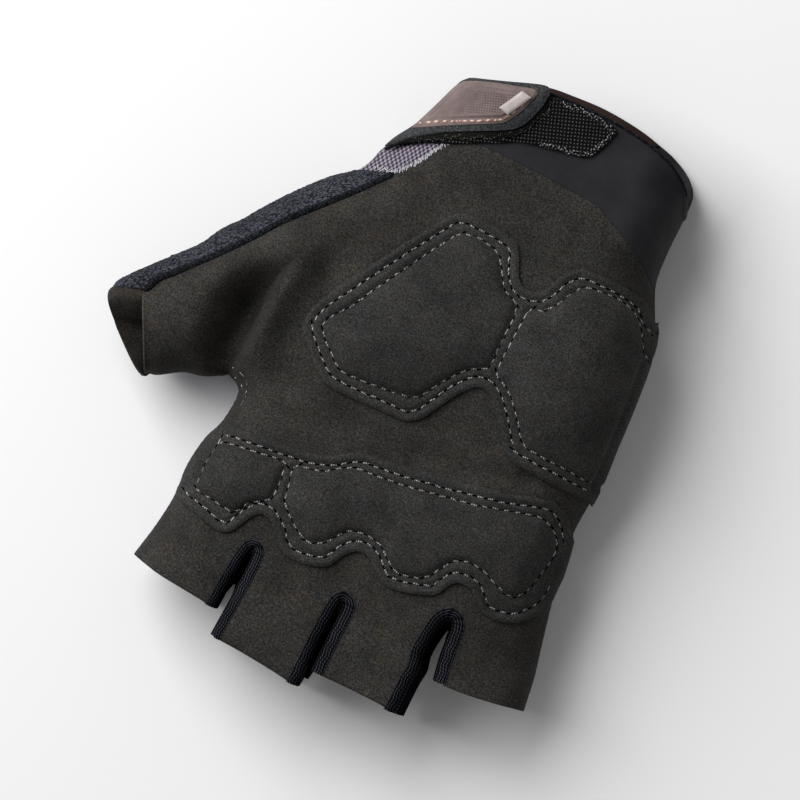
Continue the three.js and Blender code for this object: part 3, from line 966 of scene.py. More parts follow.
# The light colour here is a painted highlight on the cords' tops, and the deep colour is painted shade
# between them.
BINDING_PAINTED_LIGHT = Finish("slit_binding", Weave.RIB, (0.0095, 0.0098, 0.0128), (0.003, 0.0026, 0.0036),
                 (0.04, 0.043, 0.053), 0.6, 0.45, 0.05, gloss=0.0)
LOOP_CLOTH = Finish("loop_cloth", Weave.LOOPS, (0.0052, 0.0052, 0.0058), (0.0008, 0.0008, 0.0008),
                    (0.068, 0.069, 0.072), 0.85, 0.85, 0.35)
TAB_FELT = Finish("tab_felt", Weave.SUEDE, (0.037, 0.039, 0.042), (0.014, 0.015, 0.0165),
                  (0.076, 0.08, 0.084), 1.0, 0.4, 0.25)
HOOK_CLOTH = Finish("hook_cloth", Weave.LOOPS, (0.0055, 0.0055, 0.0062), (0.001, 0.001, 0.001),
                    (0.04, 0.039, 0.036), 0.9, 0.45, 0.35)
DARK_ROLL = Finish("dark_roll", Weave.TERRY, (0.005, 0.0055, 0.0075), (0.0015, 0.0015, 0.002),
                   (0.02, 0.022, 0.028), 1.0, 0.5, 0.2)
BADGE = Finish("badge_moulding", Weave.MOULDED, (0.143, 0.106, 0.102), (0.129, 0.0955, 0.0915),
               (0.156, 0.116, 0.112), 0.5, 1.4, 0.015, gloss=0.22)
TILE_FINISH = Finish("tile_moulding", Weave.MOULDED, (0.4, 0.355, 0.345), (0.37, 0.328, 0.318),
                     (0.43, 0.383, 0.372), 0.45, 1.6, 0.015, gloss=0.35)
GREY_THREAD = Finish("grey_thread", Weave.THREAD, (0.17, 0.172, 0.17), (0.06, 0.06, 0.06),
                     (0.4, 0.405, 0.4), 0.75, 0.55, 0.05)
FUZZ_THREAD = Finish("fuzz_thread", Weave.THREAD, (0.15, 0.152, 0.15), (0.04, 0.04, 0.04),
                     (0.42, 0.42, 0.42), 0.9, 0.7, 0.05)
HOOK_THREAD = Finish("hook_thread", Weave.THREAD, (0.06, 0.058, 0.048), (0.02, 0.0195, 0.016),
                     (0.15, 0.145, 0.125), 0.9, 0.7, 0.05)
CUFF_INSIDE = Finish("cuff_inside", Weave.TWILL, (0.03, 0.0165, 0.014), (0.018, 0.01, 0.009),
                     (0.046, 0.026, 0.022), 0.9, 0.42, 0.05)
# A lighter brown for the suede's cut edge: partly the cut edge's own lighter colour, and partly a painted
# highlight where the edge catches the light.
CUT_SUEDE_AND_HIGHLIGHT = Finish("cut_suede_and_highlight", Weave.SUEDE, (0.056, 0.046, 0.04), (0.03, 0.025, 0.022),
                   (0.09, 0.076, 0.068), 0.95, 0.4, 0.1)
# Near-black beads between stitches: painted shade inside the needle holes.
HOLE_SHADE = Finish("needle_hole_painted_shade", Weave.SUEDE, (0.0015, 0.0015, 0.0015), (0.0008, 0.0008, 0.0008),
                    (0.0022, 0.0022, 0.0022), 1.0, 0.4, 0.02, gloss=0.0)
PEACH_THREAD = Finish("peach_thread", Weave.THREAD, (0.48, 0.31, 0.25), (0.26, 0.16, 0.125),
                      (0.62, 0.45, 0.38), 0.75, 1.5, 0.02)
WHITE_THREAD = Finish("white_thread", Weave.THREAD, (0.5, 0.49, 0.52), (0.2, 0.2, 0.22),
                      (0.75, 0.74, 0.78), 0.85, 0.3, 0.05)


def dress(piece: Piece, finish: Finish, slot: str, *nodes: str) -> None:
    """Gives a piece its material and body, and hides the solids that it stands for.

    Args:
        piece: the piece to dress.
        finish: what it is made of.
        slot: its material slot in the frame; not used.
        nodes: the solids that it stands for.
    """
    piece.data.materials.clear()
    piece.data.materials.append(bpy.data.materials.get(finish.title) or finish.material())
    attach(piece, "root")
    if nodes:
        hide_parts(*nodes)
    LOG.info("%s: %d faces", piece.name, len(piece.data.polygons))


# Panels

def wrapped(plan: Array, lift: Array | float, low_lift: float) -> Array:
    """Carries a strip of the plan over the palm side, round its last column and under.

    Args:
        plan: plan places, whose last column lies on the outer side.
        lift: height over the palm side.
        low_lift: height out from the back.

    Returns:
        Points with the columns of both sides, one after the other.
    """
    x, y = plan[..., 0], plan[..., 1]
    upper = np.stack([x, y, FORM.top(x, y) + lift], -1)
    upper[:, -1, 2] = FORM.seam
    x, y = x[:, ::-1][:, 1:], y[:, ::-1][:, 1:]
    lower = np.stack([x, y, np.maximum(FORM.under(x, y) - low_lift, 0.0)], -1)
    return np.concatenate([upper, lower], 1)


def clustered(count: int) -> Array:
    """Spaces shares from 0 to 1 closely at both ends, as the cosine of even angles."""
    return 0.5 - 0.5 * np.cos(np.linspace(0, math.pi, count))


def clustered_end(count: int) -> Array:
    """Spaces shares from 0 to 1 closely at the far end, as the sine of even angles."""
    return np.sin(np.linspace(0, math.pi / 2, count))


def four_sided(sides: Sequence[Points], across: int, up: int) -> Array:
    """Fills four sides with a grid, as the sum of both rulings less the blend of the corners.

    Args:
        sides: bottom, right, top and left, each from -X or from the bottom.
        across: places along the bottom and the top.
        up: places along the left and the right.

    Returns:
        Plan places of the grid, across by up.
    """
    counts = (across, up, across, up)
    bottom, right, top, left = (evenly(side, count) for side, count in zip(sides, counts))
    u, v = clustered(across)[:, None, None], clustered(up)[None, :, None]
    even_u, even_v = np.linspace(0, 1, across), np.linspace(0, 1, up)

    def along(line: Array, even: Array, at: Array) -> Array:
        """Picks places on a side at the shares that the grid uses."""
        return np.column_stack([np.interp(at, even, line[:, k]) for k in (0, 1)])

    low, high = (along(line, even_u, u.ravel())[:, None, :] for line in (bottom, top))
    start, end = (along(line, even_v, v.ravel())[None, :, :] for line in (left, right))
    corners = ((1 - u) * ((1 - v) * bottom[0] + v * top[0]) + u * ((1 - v) * bottom[-1] + v * top[-1]))
    return low * (1 - v) + high * v + start * (1 - u) + end * u - corners


def refined(grid: Array, parts: int) -> Array:
    """Cuts each step of a grid into parts, with places along straight lines between.

    Args:
        grid: points of the grid.
        parts: new steps for each old one.

    Returns:
        The finer grid.
    """
    for axis in (0, 1):
        count = grid.shape[axis]
        at = np.linspace(0, count - 1, (count - 1) * parts + 1)
        low = np.minimum(at.astype(int), count - 2)
        share = (at - low).reshape((-1, 1, 1) if axis == 0 else (1, -1, 1))
        grid = np.take(grid, low, axis) * (1 - share) + np.take(grid, low + 1, axis) * share
    return grid


def evenly(points: Points | Array, count: int) -> Array:
    """Draws a smooth line through points as a given number of places.

    Args:
        points: points of the line.
        count: how many places to draw.

    Returns:
        The places, one row each.
    """
    line = smooth_line(points, 0.4)
    at = np.linspace(0, len(line) - 1, count)
    return np.column_stack([np.interp(at, np.arange(len(line)), line[:, k]) for k in (0, 1)])


@dataclass
class PalmPanel:
    """The suede palm with the palm side of the fingers and of the thumb.

    Args:
        shared_rows: rows from the wrist seam to the finger crotches.
        finger_rows: rows from there to each finger opening.
        columns: columns in each finger's strip.
        thumb_rows: rows of the thumb beyond its crotch.
        thumb_columns: columns in the thumb's strip.
        wall: thickness of the suede.
        crotch_y: y at which the fingers' strips part.
        openings: line of each finger's opening.
    """

    shared_rows: int = 128
    finger_rows: int = 30
    columns: int = 38
    thumb_rows: int = 34
    thumb_columns: int = 34
    wall: float = 1.3
    crotch_y: float = -46.0
    openings: dict[str, Points] = field(default_factory=lambda: {
        "index": ((-39.2, -62.8), (-32, -63.9), (-20, -64.6), (-15.4, -65.1)),
        "middle": ((-13.9, -71), (-6, -71.1), (2, -71.5), (10.9, -72.3)),
        "ring": ((11.4, -67.3), (20, -66.8), (30, -66.6), (36.7, -67.1)),
        "little": ((38.9, -55.8), (46, -55), (54, -53.6), (61.5, -52.2)),
    })

    def borders(self) -> list[tuple[str, Slit | None, Slit | None]]:
        """Names each finger with its slits on the -X and +X side.

        Returns:
            Name, slit on the -X side and slit on the +X side of each finger.
        """
        first, second, third = SLITS.values()
        return [("index", None, first), ("middle", first, second), ("ring", second, third),
                ("little", third, None)]

    def finger(self, number: int) -> Array:
        """Lays one finger's strip of the plan, from the wrist seam to its opening.

        Args:
            number: 0 for the index finger to 3 for the little one.

        Returns:
            Plan places, rows by columns.
        """
        name, before, after = self.borders()[number]
        top = smooth_line(PALM_TOP, 0.5)
        left_line = np.vstack([smooth_line(PALM_LEFT, 0.4), FORM.sides["web"][self.after_crotch():]])
        ulnar = FORM.sides["ulnar"]
        opening = smooth_line(self.openings[name], 0.4)
        rows = self.shared_rows + self.finger_rows - 1
        fall = np.linspace(0, 1, self.shared_rows)[:, None]
        beyond = np.linspace(0, 1, self.finger_rows)[1:, None]

        def level(x: Array) -> Array:
            """Height on the plan of each row at an x that may differ from row to row.

            Args:
                x: one column of places, a row each.

            Returns:
                y of each row.
            """
            start = np.interp(x, top[:, 0], top[:, 1])
            end = np.interp(x, opening[:, 0], opening[:, 1])
            shared = start[:self.shared_rows] * (1 - fall) + self.crotch_y * fall
            further = self.crotch_y * (1 - beyond) + end[self.shared_rows:] * beyond
            return np.vstack([shared, further])

        def edge(side: int, slit: Slit | None) -> Array:
            """x of one edge of the strip on each row.

            Args:
                side: -1 for the -X edge, 1 for the +X edge.
                slit: the slit beside that edge, if there is one.

            Returns:
                x of each row.
            """
            share = (number + (side > 0)) / 4
            x = np.full((rows, 1), float(opening[0, 0] if side < 0 else opening[-1, 0]))
            for _ in range(4):
                y = level(x)
                if slit is not None:
                    fan = np.interp(y, [self.crotch_y, 20, 62], [0, 0.45, 1])
                    wide = top[0, 0] + (top[-1, 0] - top[0, 0]) * share
                    x = slit.border(-side, y) * (1 - fan) + wide * fan
                elif side < 0:
                    x = np.interp(y, left_line[::-1, 1], left_line[::-1, 0])
                else:
                    x = np.interp(y, ulnar[::-1, 1], ulnar[::-1, 0])
            return x

        left, right = edge(-1, before), edge(1, after)
        x = left + (right - left) * clustered(self.columns)
        shape = x.shape
        columns = [level(x[:, k:k + 1]) for k in range(shape[1])]
        return np.stack([x, np.hstack(columns)], -1)

    def after_crotch(self) -> int:
        """Finds where the web side leaves the thumb crotch for the index finger."""
        web = FORM.sides["web"]
        return nearest(web, THUMB_CROTCH) + 1

    def thumb(self, index: Array) -> Array:
        """Lays the thumb's strip, which shares the index strip's edge down to the crotch.

        Args:
            index: plan places of the index finger's strip.

        Returns:
            Plan places, rows by columns.
        """
        edge = index[:, 0, :]
        start = int(np.argmin(np.abs(edge[:self.shared_rows, 1] - TERRY_SEAM[0][1])))
        crotch = nearest(edge, THUMB_CROTCH)
        shared = edge[start:crotch + 1]
        seam = np.array(TERRY_SEAM, float)
        seam[0] = shared[0]
        web = FORM.sides["web"]
        under = (web[:, 0] > -57.0) & (web[:, 0] < -39.6) & (web[:, 1] > -24.5)
        lower = np.vstack([shared[-1:], web[under][::-1], [THUMB_CORNER]])
        left = np.vstack([evenly(seam, len(shared)), evenly(TERRY_SEAM_END, self.thumb_rows)[1:]])
        right = np.vstack([shared, evenly(lower, self.thumb_rows)[1:]])
        share = clustered_end(self.thumb_columns)[None, :, None]
        return left[:, None, :] * (1 - share) + right[:, None, :] * share

    def lip(self) -> Array:
        """Lays the far lip of the thumb's opening, whose inner face shows past the crease.

        It starts under the crease and ends on the outline. It rises evenly from there to the side
        seam's height on the outline, and to the terry at its end.

        Returns:
            Points of the lip, rows by columns.
        """
        low, high = (-55.2, -21.6), (-64, -5.2)
        rim_line = THUMB_LIP[::-1]
        sides = ([rim_line[0], (-56.2, -22.6), low], [low, (-58, -17), (-61, -11), high],
                 [rim_line[-1], (-70, -6.4), high], rim_line)
        plan = four_sided(sides, 26, 40)
        x, y = plan[..., 0], plan[..., 1]
        crease = distance(x, y, smooth_line(THUMB_CREASE, 0.5))
        rim = distance(x, y, smooth_line(THUMB_LIP, 0.5))
        height = FORM.seam - 3.0 * rim / (rim + crease + 0.01)
        terry = 1 - ease(distance(x, y, smooth_line(TERRY_END, 0.5)), 0.3, 9.0)
        height = height * (1 - terry) + (FORM.top(x, y) - 0.9) * terry
        return np.stack([x, y, height], -1)

    def build(self) -> Piece:
        """Raises the strips onto the form, joins them into one sheet and adds the thumb's lip.

        Returns:
            The dressed piece.
        """
        strips = [self.finger(number) for number in range(4)]
        strips.insert(0, self.thumb(strips[0]))
        lip = self.lip()
        facet = make_mesh("thumb_lip", lip.reshape(-1, 3), grid_faces(*lip.shape[:2])[:, ::-1])
        thicken(facet, 0.5)
        # The lip takes the darker suede, which is painted shade for its inner face.
        dress(facet, LIP_SUEDE_PAINTED_SHADE, "suede")
        grids = []
        for strip in strips:
            x, y = strip[..., 0], strip[..., 1]
            grids.append(np.stack([x, y, FORM.settled(x, y, FORM.top(x, y))], -1))
        palm = joined("palm_suede", grids)
        thicken(palm, self.wall)
        dress(palm, SUEDE, "suede", "palm_panel")
        return palm


@dataclass
class Overlay:
    """A cut piece sewn over the palm, with padded cells between rows of stitches.

    Args:
        name: name of the piece.
        node: the solid that it stands for.
        upper: cut edge towards the wrist, from -X to +X.
        lower: cut edge towards the fingers.
        cells: inner stitch row round each padded cell.
        swell: height of the padding.
        base: height of the piece over the palm where it isn't padded.
        wall: thickness of the suede.
        edge_row: distance of the outer stitch row from the cut edge.
        rows: places from the lower edge to the upper one.
        columns: places along the edges.
        spread: distance from a cell's row over which the padding rises.
        dip: how deep a stitch row sinks in.
        dip_width: half the width of that dip.
        edge_drop: how far the cut edge is rounded down.
        edge_width: width of that rounding.
        side_fade: distances from the side seam over which the padding rises.
        side_gap: distance from the side seam at which the thread ends.
    """

    name: str
    node: str
    upper: Points
    lower: Points
    cells: tuple[Points, ...]
    swell: float = 2.1
    base: float = 1.25
    wall: float = 1.0
    edge_row: float = 2.3
    rows: int = 84
    columns: int = 190
    spread: float = 4.2
    dip: float = 0.55
    dip_width: float = 0.8
    edge_drop: float = 0.25
    edge_width: float = 0.45
    side_fade: Pair = (0.5, 12.0)
    side_gap: float = 0.9

    def __post_init__(self) -> None:
        """Draws the outline and the stitch rows."""
        self.top_line = smooth_line(self.upper, 0.4)
        self.low_line = smooth_line(self.lower, 0.4)
        self.outline = np.vstack([self.top_line, self.low_line[::-1]])
        self.cell_lines = [smooth_line(cell, 0.8, closed=True) for cell in self.cells]

    def height(self, x: Array, y: Array) -> Array:
        """Stands proud of the palm by the suede, the swelling of each cell and the stitch dips.

        The swelling rises with the distance inside a cell as one less a falling exponential. Each
        stitch row dips as a narrow bell.

        Args:
            x: plan places.
            y: plan places.

        Returns:
            Height over the palm's form.
        """
        lift = np.full_like(x, self.base)
        inner = ease(distance(x, y, FORM.sides["ulnar"]), *self.side_fade)
        for line in self.cell_lines:
            depth = depth_inside(x, y, line)
            lift += self.swell * (1 - np.exp(-np.maximum(depth, 0) / self.spread)) * inner
            lift -= self.dip * np.exp(-(depth / self.dip_width)**2)
        away = distance(x, y, self.outline, closed=True)
        lift -= self.dip * np.exp(-((away - self.edge_row) / self.dip_width)**2)
        lift -= self.edge_drop * np.exp(-(away / self.edge_width)**2)
        return lift

    def build(self) -> Piece:
        """Lays a ruled grid between the two cut edges and lifts it off the palm.

        Returns:
            The dressed piece.
        """
        turn = np.linspace(0, math.pi, self.columns)
        even = np.linspace(0, 1, self.columns)
        across = (0.35 * (0.5 - 0.5 * np.cos(turn)) + 0.65 * even)[:, None]
        up = clustered(self.rows)[None, :]
        lower = self.along(self.low_line, across)
        upper = self.along(self.top_line, across)
        plan = lower * (1 - up[..., None]) + upper * up[..., None]
        x, y = plan[..., 0], plan[..., 1]
        points = FORM.lifted(x, y, self.height(x, y))
        piece = joined(self.name, [points])
        thicken(piece, self.wall)
        dress(piece, PAD_SUEDE, "pad_suede", self.node)
        return piece

    @staticmethod
    def along(line: Array, share: Array) -> Array:
        """Finds places on a cut edge whose x runs evenly, with the ends of the edge kept.

        Args:
            line: points of the cut edge.
            share: shares of its width.

        Returns:
            Plan places on the edge.
        """
        x = line[0, 0] + (line[-1, 0] - line[0, 0]) * share
        order = np.maximum.accumulate(line[:, 0])
        order = order + np.arange(len(order)) * 1e-9
        return np.stack([x, np.interp(x, order, line[:, 1])], -1)

    def stitch_rows(self) -> list[Array]:
        """Gives the rows that thread runs along: one inside the cut edge, one round each cell.

        Returns:
            Plan places of each row.
        """
        closed = np.vstack([self.outline, self.outline[:1]])
        along = np.gradient(closed, axis=0)
        along /= np.maximum(np.linalg.norm(along, axis=1, keepdims=True), 1e-9)
        inward = np.column_stack([along[:, 1], -along[:, 0]])
        row = closed + inward * self.edge_row
        keep = distance(row[:, 0], row[:, 1], self.outline, closed=True) > self.edge_row * 0.93
        cells = [np.vstack([line, line[:1]]) for line in self.cell_lines]
        ulnar = FORM.sides["ulnar"]
        rows = []
        for line in [row[keep]] + cells:
            edge = np.interp(line[:, 1], ulnar[::-1, 1], ulnar[::-1, 0])
            rows.append(line[line[:, 0] < edge - self.side_gap])
        return rows


@dataclass
class Stitching:
    """Thread laid along rows as separate stitches, with a dark bead between each two as the painted shade
    of a needle hole.

    Args:
        name: name of the piece.
        finish: of the thread.
        slot: material slot.
        length: of one stitch.
        pitch: from one stitch to the next.
        width: of the thread.
        rings: places along a stitch.
        sides: places round it.
        holes: whether the dark beads of painted needle-hole shade show.
        stray: how far a stitch may lie off its row.
        turn: how far it may turn from it, in degrees.
        uneven: share by which its length may differ.
        lean: angle of all stitches to the row, in degrees.
        seed: start of the random draws.
        as_seen: whether they lie where they are drawn from above, as on the closure.
    """

    name: str
    finish: Finish
    slot: str
    length: float = 1.6
    pitch: float = 2.6
    width: float = 0.40
    rings: int = 6
    sides: int = 8
    holes: bool = True
    stray: float = 0.12
    turn: float = 12.0
    uneven: float = 0.2
    lean: float = 0.0
    seed: int = 3
    as_seen: bool = False

    def places(self, rows: list[Array]) -> Array:
        """Spaces the stitches along the rows and gives their x, y and heading.

        Args:
            rows: plan places of each row.

        Returns:
            x, y and heading of each stitch.
        """
        found = []
        for row in rows:
            steps = np.linalg.norm(np.diff(row, axis=0), axis=1)
            breaks = np.flatnonzero(steps > 2.5) + 1
            for run in np.split(row, breaks):
                if len(run) < 3:
                    continue
                along = np.concatenate([[0], np.cumsum(np.linalg.norm(np.diff(run, axis=0), axis=1))])
                at = np.arange(self.pitch / 2, along[-1], self.pitch)
                x, y = (np.interp(at, along, run[:, k]) for k in (0, 1))
                ahead = [np.interp(at + 0.4, along, run[:, k]) - np.interp(at - 0.4, along, run[:, k])
                         for k in (0, 1)]
                found.append(np.column_stack([x, y, np.arctan2(ahead[1], ahead[0])]))
        return np.vstack(found)

    def on_surface(self, x: Array, y: Array, height: Heights, sink: float) -> Array:
        """Finds the points that carry the stitches.

        Args:
            x: plan places.
            y: plan places.
            height: height of the cloth over the form.
            sink: how deep the stitch sits.

        Returns:
            Points on the cloth.
        """
        if self.as_seen:
            return FORM.seen(x, y, lambda a, b: height(a, b) - sink)
        return FORM.lifted(x, y, height(x, y) - sink)

    def beads(self, x: Array, y: Array, heading: Array, height: Heights,
              length: Array | float, width: float, thick: float, sink: float) -> tuple[Array, Array]:
        """Sets one small rounded bead at each place, as an ellipsoid stretched along its heading.

        Args:
            x: plan places.
            y: plan places.
            heading: angle of each bead.
            height: lift of the surface over the form.
            length: of a bead.
            width: of a bead.
            thick: height of a bead.
            sink: how far its middle lies below the surface.

        Returns:
            The points and the quads.
        """
        around = np.linspace(0, 2 * math.pi, self.sides, endpoint=False)
        pole = np.linspace(0.02, math.pi - 0.02, self.rings)
        ring = np.sin(pole)[:, None] ** 0.7
        local_x = np.broadcast_to(-np.cos(pole)[:, None], (self.rings, self.sides))
        local_y = ring * np.cos(around) * width / 2
        local_z = ring * np.sin(around) * thick / 2
        near_x, near_y = 0.3 * np.cos(heading), 0.3 * np.sin(heading)
        base, ahead, side = (self.on_surface(x + dx, y + dy, height, sink)
                             for dx, dy in ((0, 0), (near_x, near_y), (-near_y, near_x)))
        tangent = ahead - base
        tangent /= np.linalg.norm(tangent, axis=1, keepdims=True)
        normal = np.cross(tangent, side - base)
        normal /= np.linalg.norm(normal, axis=1, keepdims=True)
        across = np.cross(normal, tangent)
        half = np.broadcast_to(length, x.shape)[:, None, None, None] / 2
        points = (base[:, None, None, :] + tangent[:, None, None, :] * local_x[None, ..., None] * half
                  + across[:, None, None, :] * local_y[None, ..., None]
                  + normal[:, None, None, :] * local_z[None, ..., None])
        one = grid_faces(self.rings, self.sides, closed=True)
        caps = np.array([[0, 3, 2, 1], [0, 5, 4, 3], [0, 7, 6, 5]])
        top = (self.rings - 1) * self.sides
        one = np.vstack([one, caps[:, ::-1], caps + top])
        size = self.rings * self.sides
        faces = one[None] + (np.arange(len(x)) * size)[:, None, None]
        return points.reshape(-1, 3), faces.reshape(-1, 4)

    def build(self, rows: list[Array], height: Heights) -> list[Piece]:
        """Makes the thread, and the dark beads between its stitches that paint the shade of the needle
        holes.

        Args:
            rows: plan places of each row.
            height: height of the cloth over the form.

        Returns:
            The thread, and the painted hole shade where it has them.
        """
        x, y, heading = self.places(rows).T
        chance = np.random.default_rng(self.seed)
        off, turned, longer = chance.uniform(-1, 1, (3, len(x)))
        thread_x = x - np.sin(heading) * off * self.stray
        thread_y = y + np.cos(heading) * off * self.stray
        slope = heading + np.radians(self.lean + turned * self.turn)
        length = self.length * (1 + self.uneven * longer)
        thick = self.width * 0.8
        points, faces = self.beads(thread_x, thread_y, slope, height, length, self.width, thick, -0.02)
        thread = make_mesh(self.name, points, faces)
        dress(thread, self.finish, self.slot)
        made = [thread]
        if self.holes:
            # Dark beads between the stitches stand in for the needle holes as painted shade.
            gap_x = x + np.cos(heading) * self.pitch / 2
            gap_y = y + np.sin(heading) * self.pitch / 2
            length = self.pitch - self.length + 0.5
            points, faces = self.beads(gap_x, gap_y, heading, height, length, 0.5, 0.2, -0.01)
            dark = make_mesh(self.name + "_hole_painted_shade", points, faces)
            dress(dark, HOLE_SHADE, self.slot)
            made.append(dark)
        return made


@dataclass
class BackPanel:
    """The knitted back, flat where the mitt lies, with the patch that shows at the wrist.

    Args:
        rows: rows of the patch.
        columns: columns of the patch on each side.
        wall: thickness of the knit.
        sunk: how far the patch lies under the form.
        upper_end: y of the patch's end at the wrist on the outer side.
        lower_end: y of its end at the terry.
    """

    rows: int = 90
    columns: int = 30
    wall: float = 1.2
    sunk: float = 0.3
    upper_end: float = 61.5
    lower_end: float = 42.8

    def build(self, palm: PalmPanel) -> Piece:
        """Lays the palm's strips on the under side, and wraps the patch round the wrist side.

        Args:
            palm: the panel whose strips are mirrored.

        Returns:
            The dressed piece.
        """
        fingers = [palm.finger(number) for number in range(4)]
        strips = [palm.thumb(fingers[0])] + fingers
        grids = []
        for strip in strips:
            strip = strip[::2] if len(strip) % 2 else np.vstack([strip[::2], strip[-1:]])
            x, y = strip[..., 0], strip[..., 1]
            grids.append(np.stack([x, y, FORM.settled(x, y, FORM.under(x, y))], -1))
        back = joined("back_knit", grids + [self.patch()], turned=False)
        thicken(back, self.wall)
        dress(back, KNIT, "mesh_cloth", "back_panel")
        return back

    def patch(self) -> Array:
        """Wraps the triangle beside the closure from the palm side round to the back.

        Returns:
            Points of the patch, rows by columns.
        """
        inner = evenly(PATCH_SEAM, self.rows)
        outer = FORM.sides["outer"]
        beside = (outer[:, 1] < self.upper_end) & (outer[:, 1] > self.lower_end)
        left = evenly(outer[beside], self.rows)
        share = clustered_end(self.columns)[None, :, None]
        above = inner[:, None, :] * (1 - share) + left[:, None, :] * share
        return wrapped(above, -self.sunk, -self.sunk)


@dataclass
class ThumbWipe:
    """The terry strip round the outer side of the thumb, from the palm seam to the back.

    Args:
        rows: rows from the wrist to the thumb's opening.
        columns: columns from the seam to the outer side.
        lift: height of the cloth over the form.
        pile: how uneven its loops are.
        wall: thickness of the cloth.
        seed: start of the random draws.
        upper_end: y of its end at the wrist on the outer side.
        lower_end: y of the last place there before the thumb's opening.
    """

    rows: int = 150
    columns: int = 30
    lift: float = 0.3
    pile: float = 0.16
    wall: float = 1.4
    seed: int = 7
    upper_end: float = 44.6
    lower_end: float = -5.9

    def build(self) -> Piece:
        """Covers the strip between the seam and the outer side above, and its mirror below.

        Returns:
            The dressed piece.
        """
        seam = np.vstack([smooth_line(TERRY_SEAM, 0.4), smooth_line(TERRY_SEAM_END, 0.4)[1:]])
        outer = FORM.sides["outer"]
        beside = (outer[:, 1] < self.upper_end) & (outer[:, 1] > self.lower_end)
        side = np.vstack([outer[beside], [TERRY_END[-1]]])
        inner, edge = evenly(seam[::4], self.rows), evenly(side, self.rows)
        share = clustered_end(self.columns)[None, :, None]
        above = inner[:, None, :] * (1 - share) + edge[:, None, :] * share
        pile = np.random.default_rng(self.seed).normal(0, self.pile, (self.rows, 2 * self.columns - 1))
        whole = wrapped(above, 0.0, 0.0)
        along, across = np.gradient(whole, axis=0), np.gradient(whole, axis=1)
        normal = np.cross(along, across)
        normal /= np.maximum(np.linalg.norm(normal, axis=-1, keepdims=True), 1e-9)
        normal *= np.sign(normal[:, :5, 2].mean() or 1)
        fade = np.ones((self.rows, 2 * self.columns - 1))
        fade[:2] = fade[-2:] = 0.2
        whole = whole + normal * (self.lift + np.abs(pile) * 0.6)[..., None] * fade[..., None]
        whole[..., 2] = np.maximum(whole[..., 2], 0.05)
        piece = joined("thumb_terry", [whole], turned=False)
        thicken(piece, self.wall)
        dress(piece, TERRY, "terry", "thumb_wipe")
        return piece


@dataclass
class Cuff:
    """The stretch-cloth band round the wrist, open at its end.

    Args:
        rows: rows from the seam to the end.
        around: places round the palm side.
        wall: thickness of the cloth.
        hem: how far the end stands proud.
        face_wall: thickness of the brown inner face.
        face_part: the part of the end's places along which that face shows.
        face_reach: how far it reaches out of and into the cuff, as shares of the opening.
    """

    rows: int = 44
    around: int = 150
    wall: float = 1.3
    hem: float = 0.3
    face_wall: float = 0.25
    face_part: tuple[int, int] = (14, 66)
    face_reach: Pair = (-1.4, 0.88)

    def build(self) -> Piece:
        """Wraps rows from the seam to the end round the palm side and the back.

        The back's end stands a little further out than the palm side's, so its inner face shows.

        Returns:
            The dressed piece.
        """
        near, far = self.plan(CUFF_END_NEAR), self.plan(CUFF_END)
        x, y = near[..., 0], near[..., 1]
        hem = self.hem * ease(distance(x, y, smooth_line(CUFF_END_NEAR, 0.5)), 1.2, 0.8)
        upper = FORM.lifted(x, y, hem)
        x, y = far[..., 0], far[..., 1]
        lower = np.stack([x, y, FORM.under(x, y)], -1)[:, ::-1][:, 1:-1]
        whole = np.concatenate([upper, lower], 1)
        count = whole.shape[1]
        piece = make_mesh("wrist_cuff", whole.reshape(-1, 3), grid_faces(self.rows, count, closed=True))
        weld(piece)
        thicken(piece, self.wall)
        dress(piece, CUFF_CLOTH, "cuff_cloth", "cuff")
        self.inside()
        return piece

    def inside(self) -> Piece:
        """Lays the brown inner face of the back along its end, narrowing towards the +X side.

        Returns:
            The dressed piece.
        """
        part = slice(*self.face_part)
        near, far = evenly(CUFF_END_NEAR, 90)[part], evenly(CUFF_END, 90)[part]
        reach = np.linspace(*self.face_reach, 9)[None, :, None]
        narrow = 1 - 0.9 * ease(near[:, 0], 10, 28)[:, None, None]
        plan = far[:, None, :] + (near - far)[:, None, :] * (1 - reach) * narrow
        x, y = plan[..., 0], plan[..., 1]
        grid = np.stack([x, y, FORM.under(x, y) + self.wall + 0.3], -1)
        piece = make_mesh("cuff_inside", grid.reshape(-1, 3), grid_faces(*grid.shape[:2])[:, ::-1])
        thicken(piece, self.face_wall)
        dress(piece, CUFF_INSIDE, "cuff_cloth")
        return piece

    def plan(self, end: Points) -> Array:
        """Rules a grid from the seam to an end line, with its outer columns on the sides.

        Args:
            end: points of the cuff's end line.

        Returns:
            Plan places, rows by columns.
        """
        share = clustered(self.around)
        even = np.linspace(0, 1, self.around)
        rise = np.linspace(0, 1, self.rows)[:, None, None]
        seam, far = evenly(CUFF_SEAM, self.around), evenly(end, self.around)
        seam, far = (np.column_stack([np.interp(share, even, line[:, k]) for k in (0, 1)])
                     for line in (seam, far))
        grid = seam * (1 - rise) + far * rise
        for side, fade in (("outer", (1 - share)**10), ("ulnar", share**10)):
            line = FORM.sides[side]
            edge = 0 if side == "outer" else -1
            at = np.interp(grid[:, edge, 1], line[::-1, 1], line[::-1, 0])
            grid[..., 0] += (at - grid[:, edge, 0])[:, None] * fade
        return grid


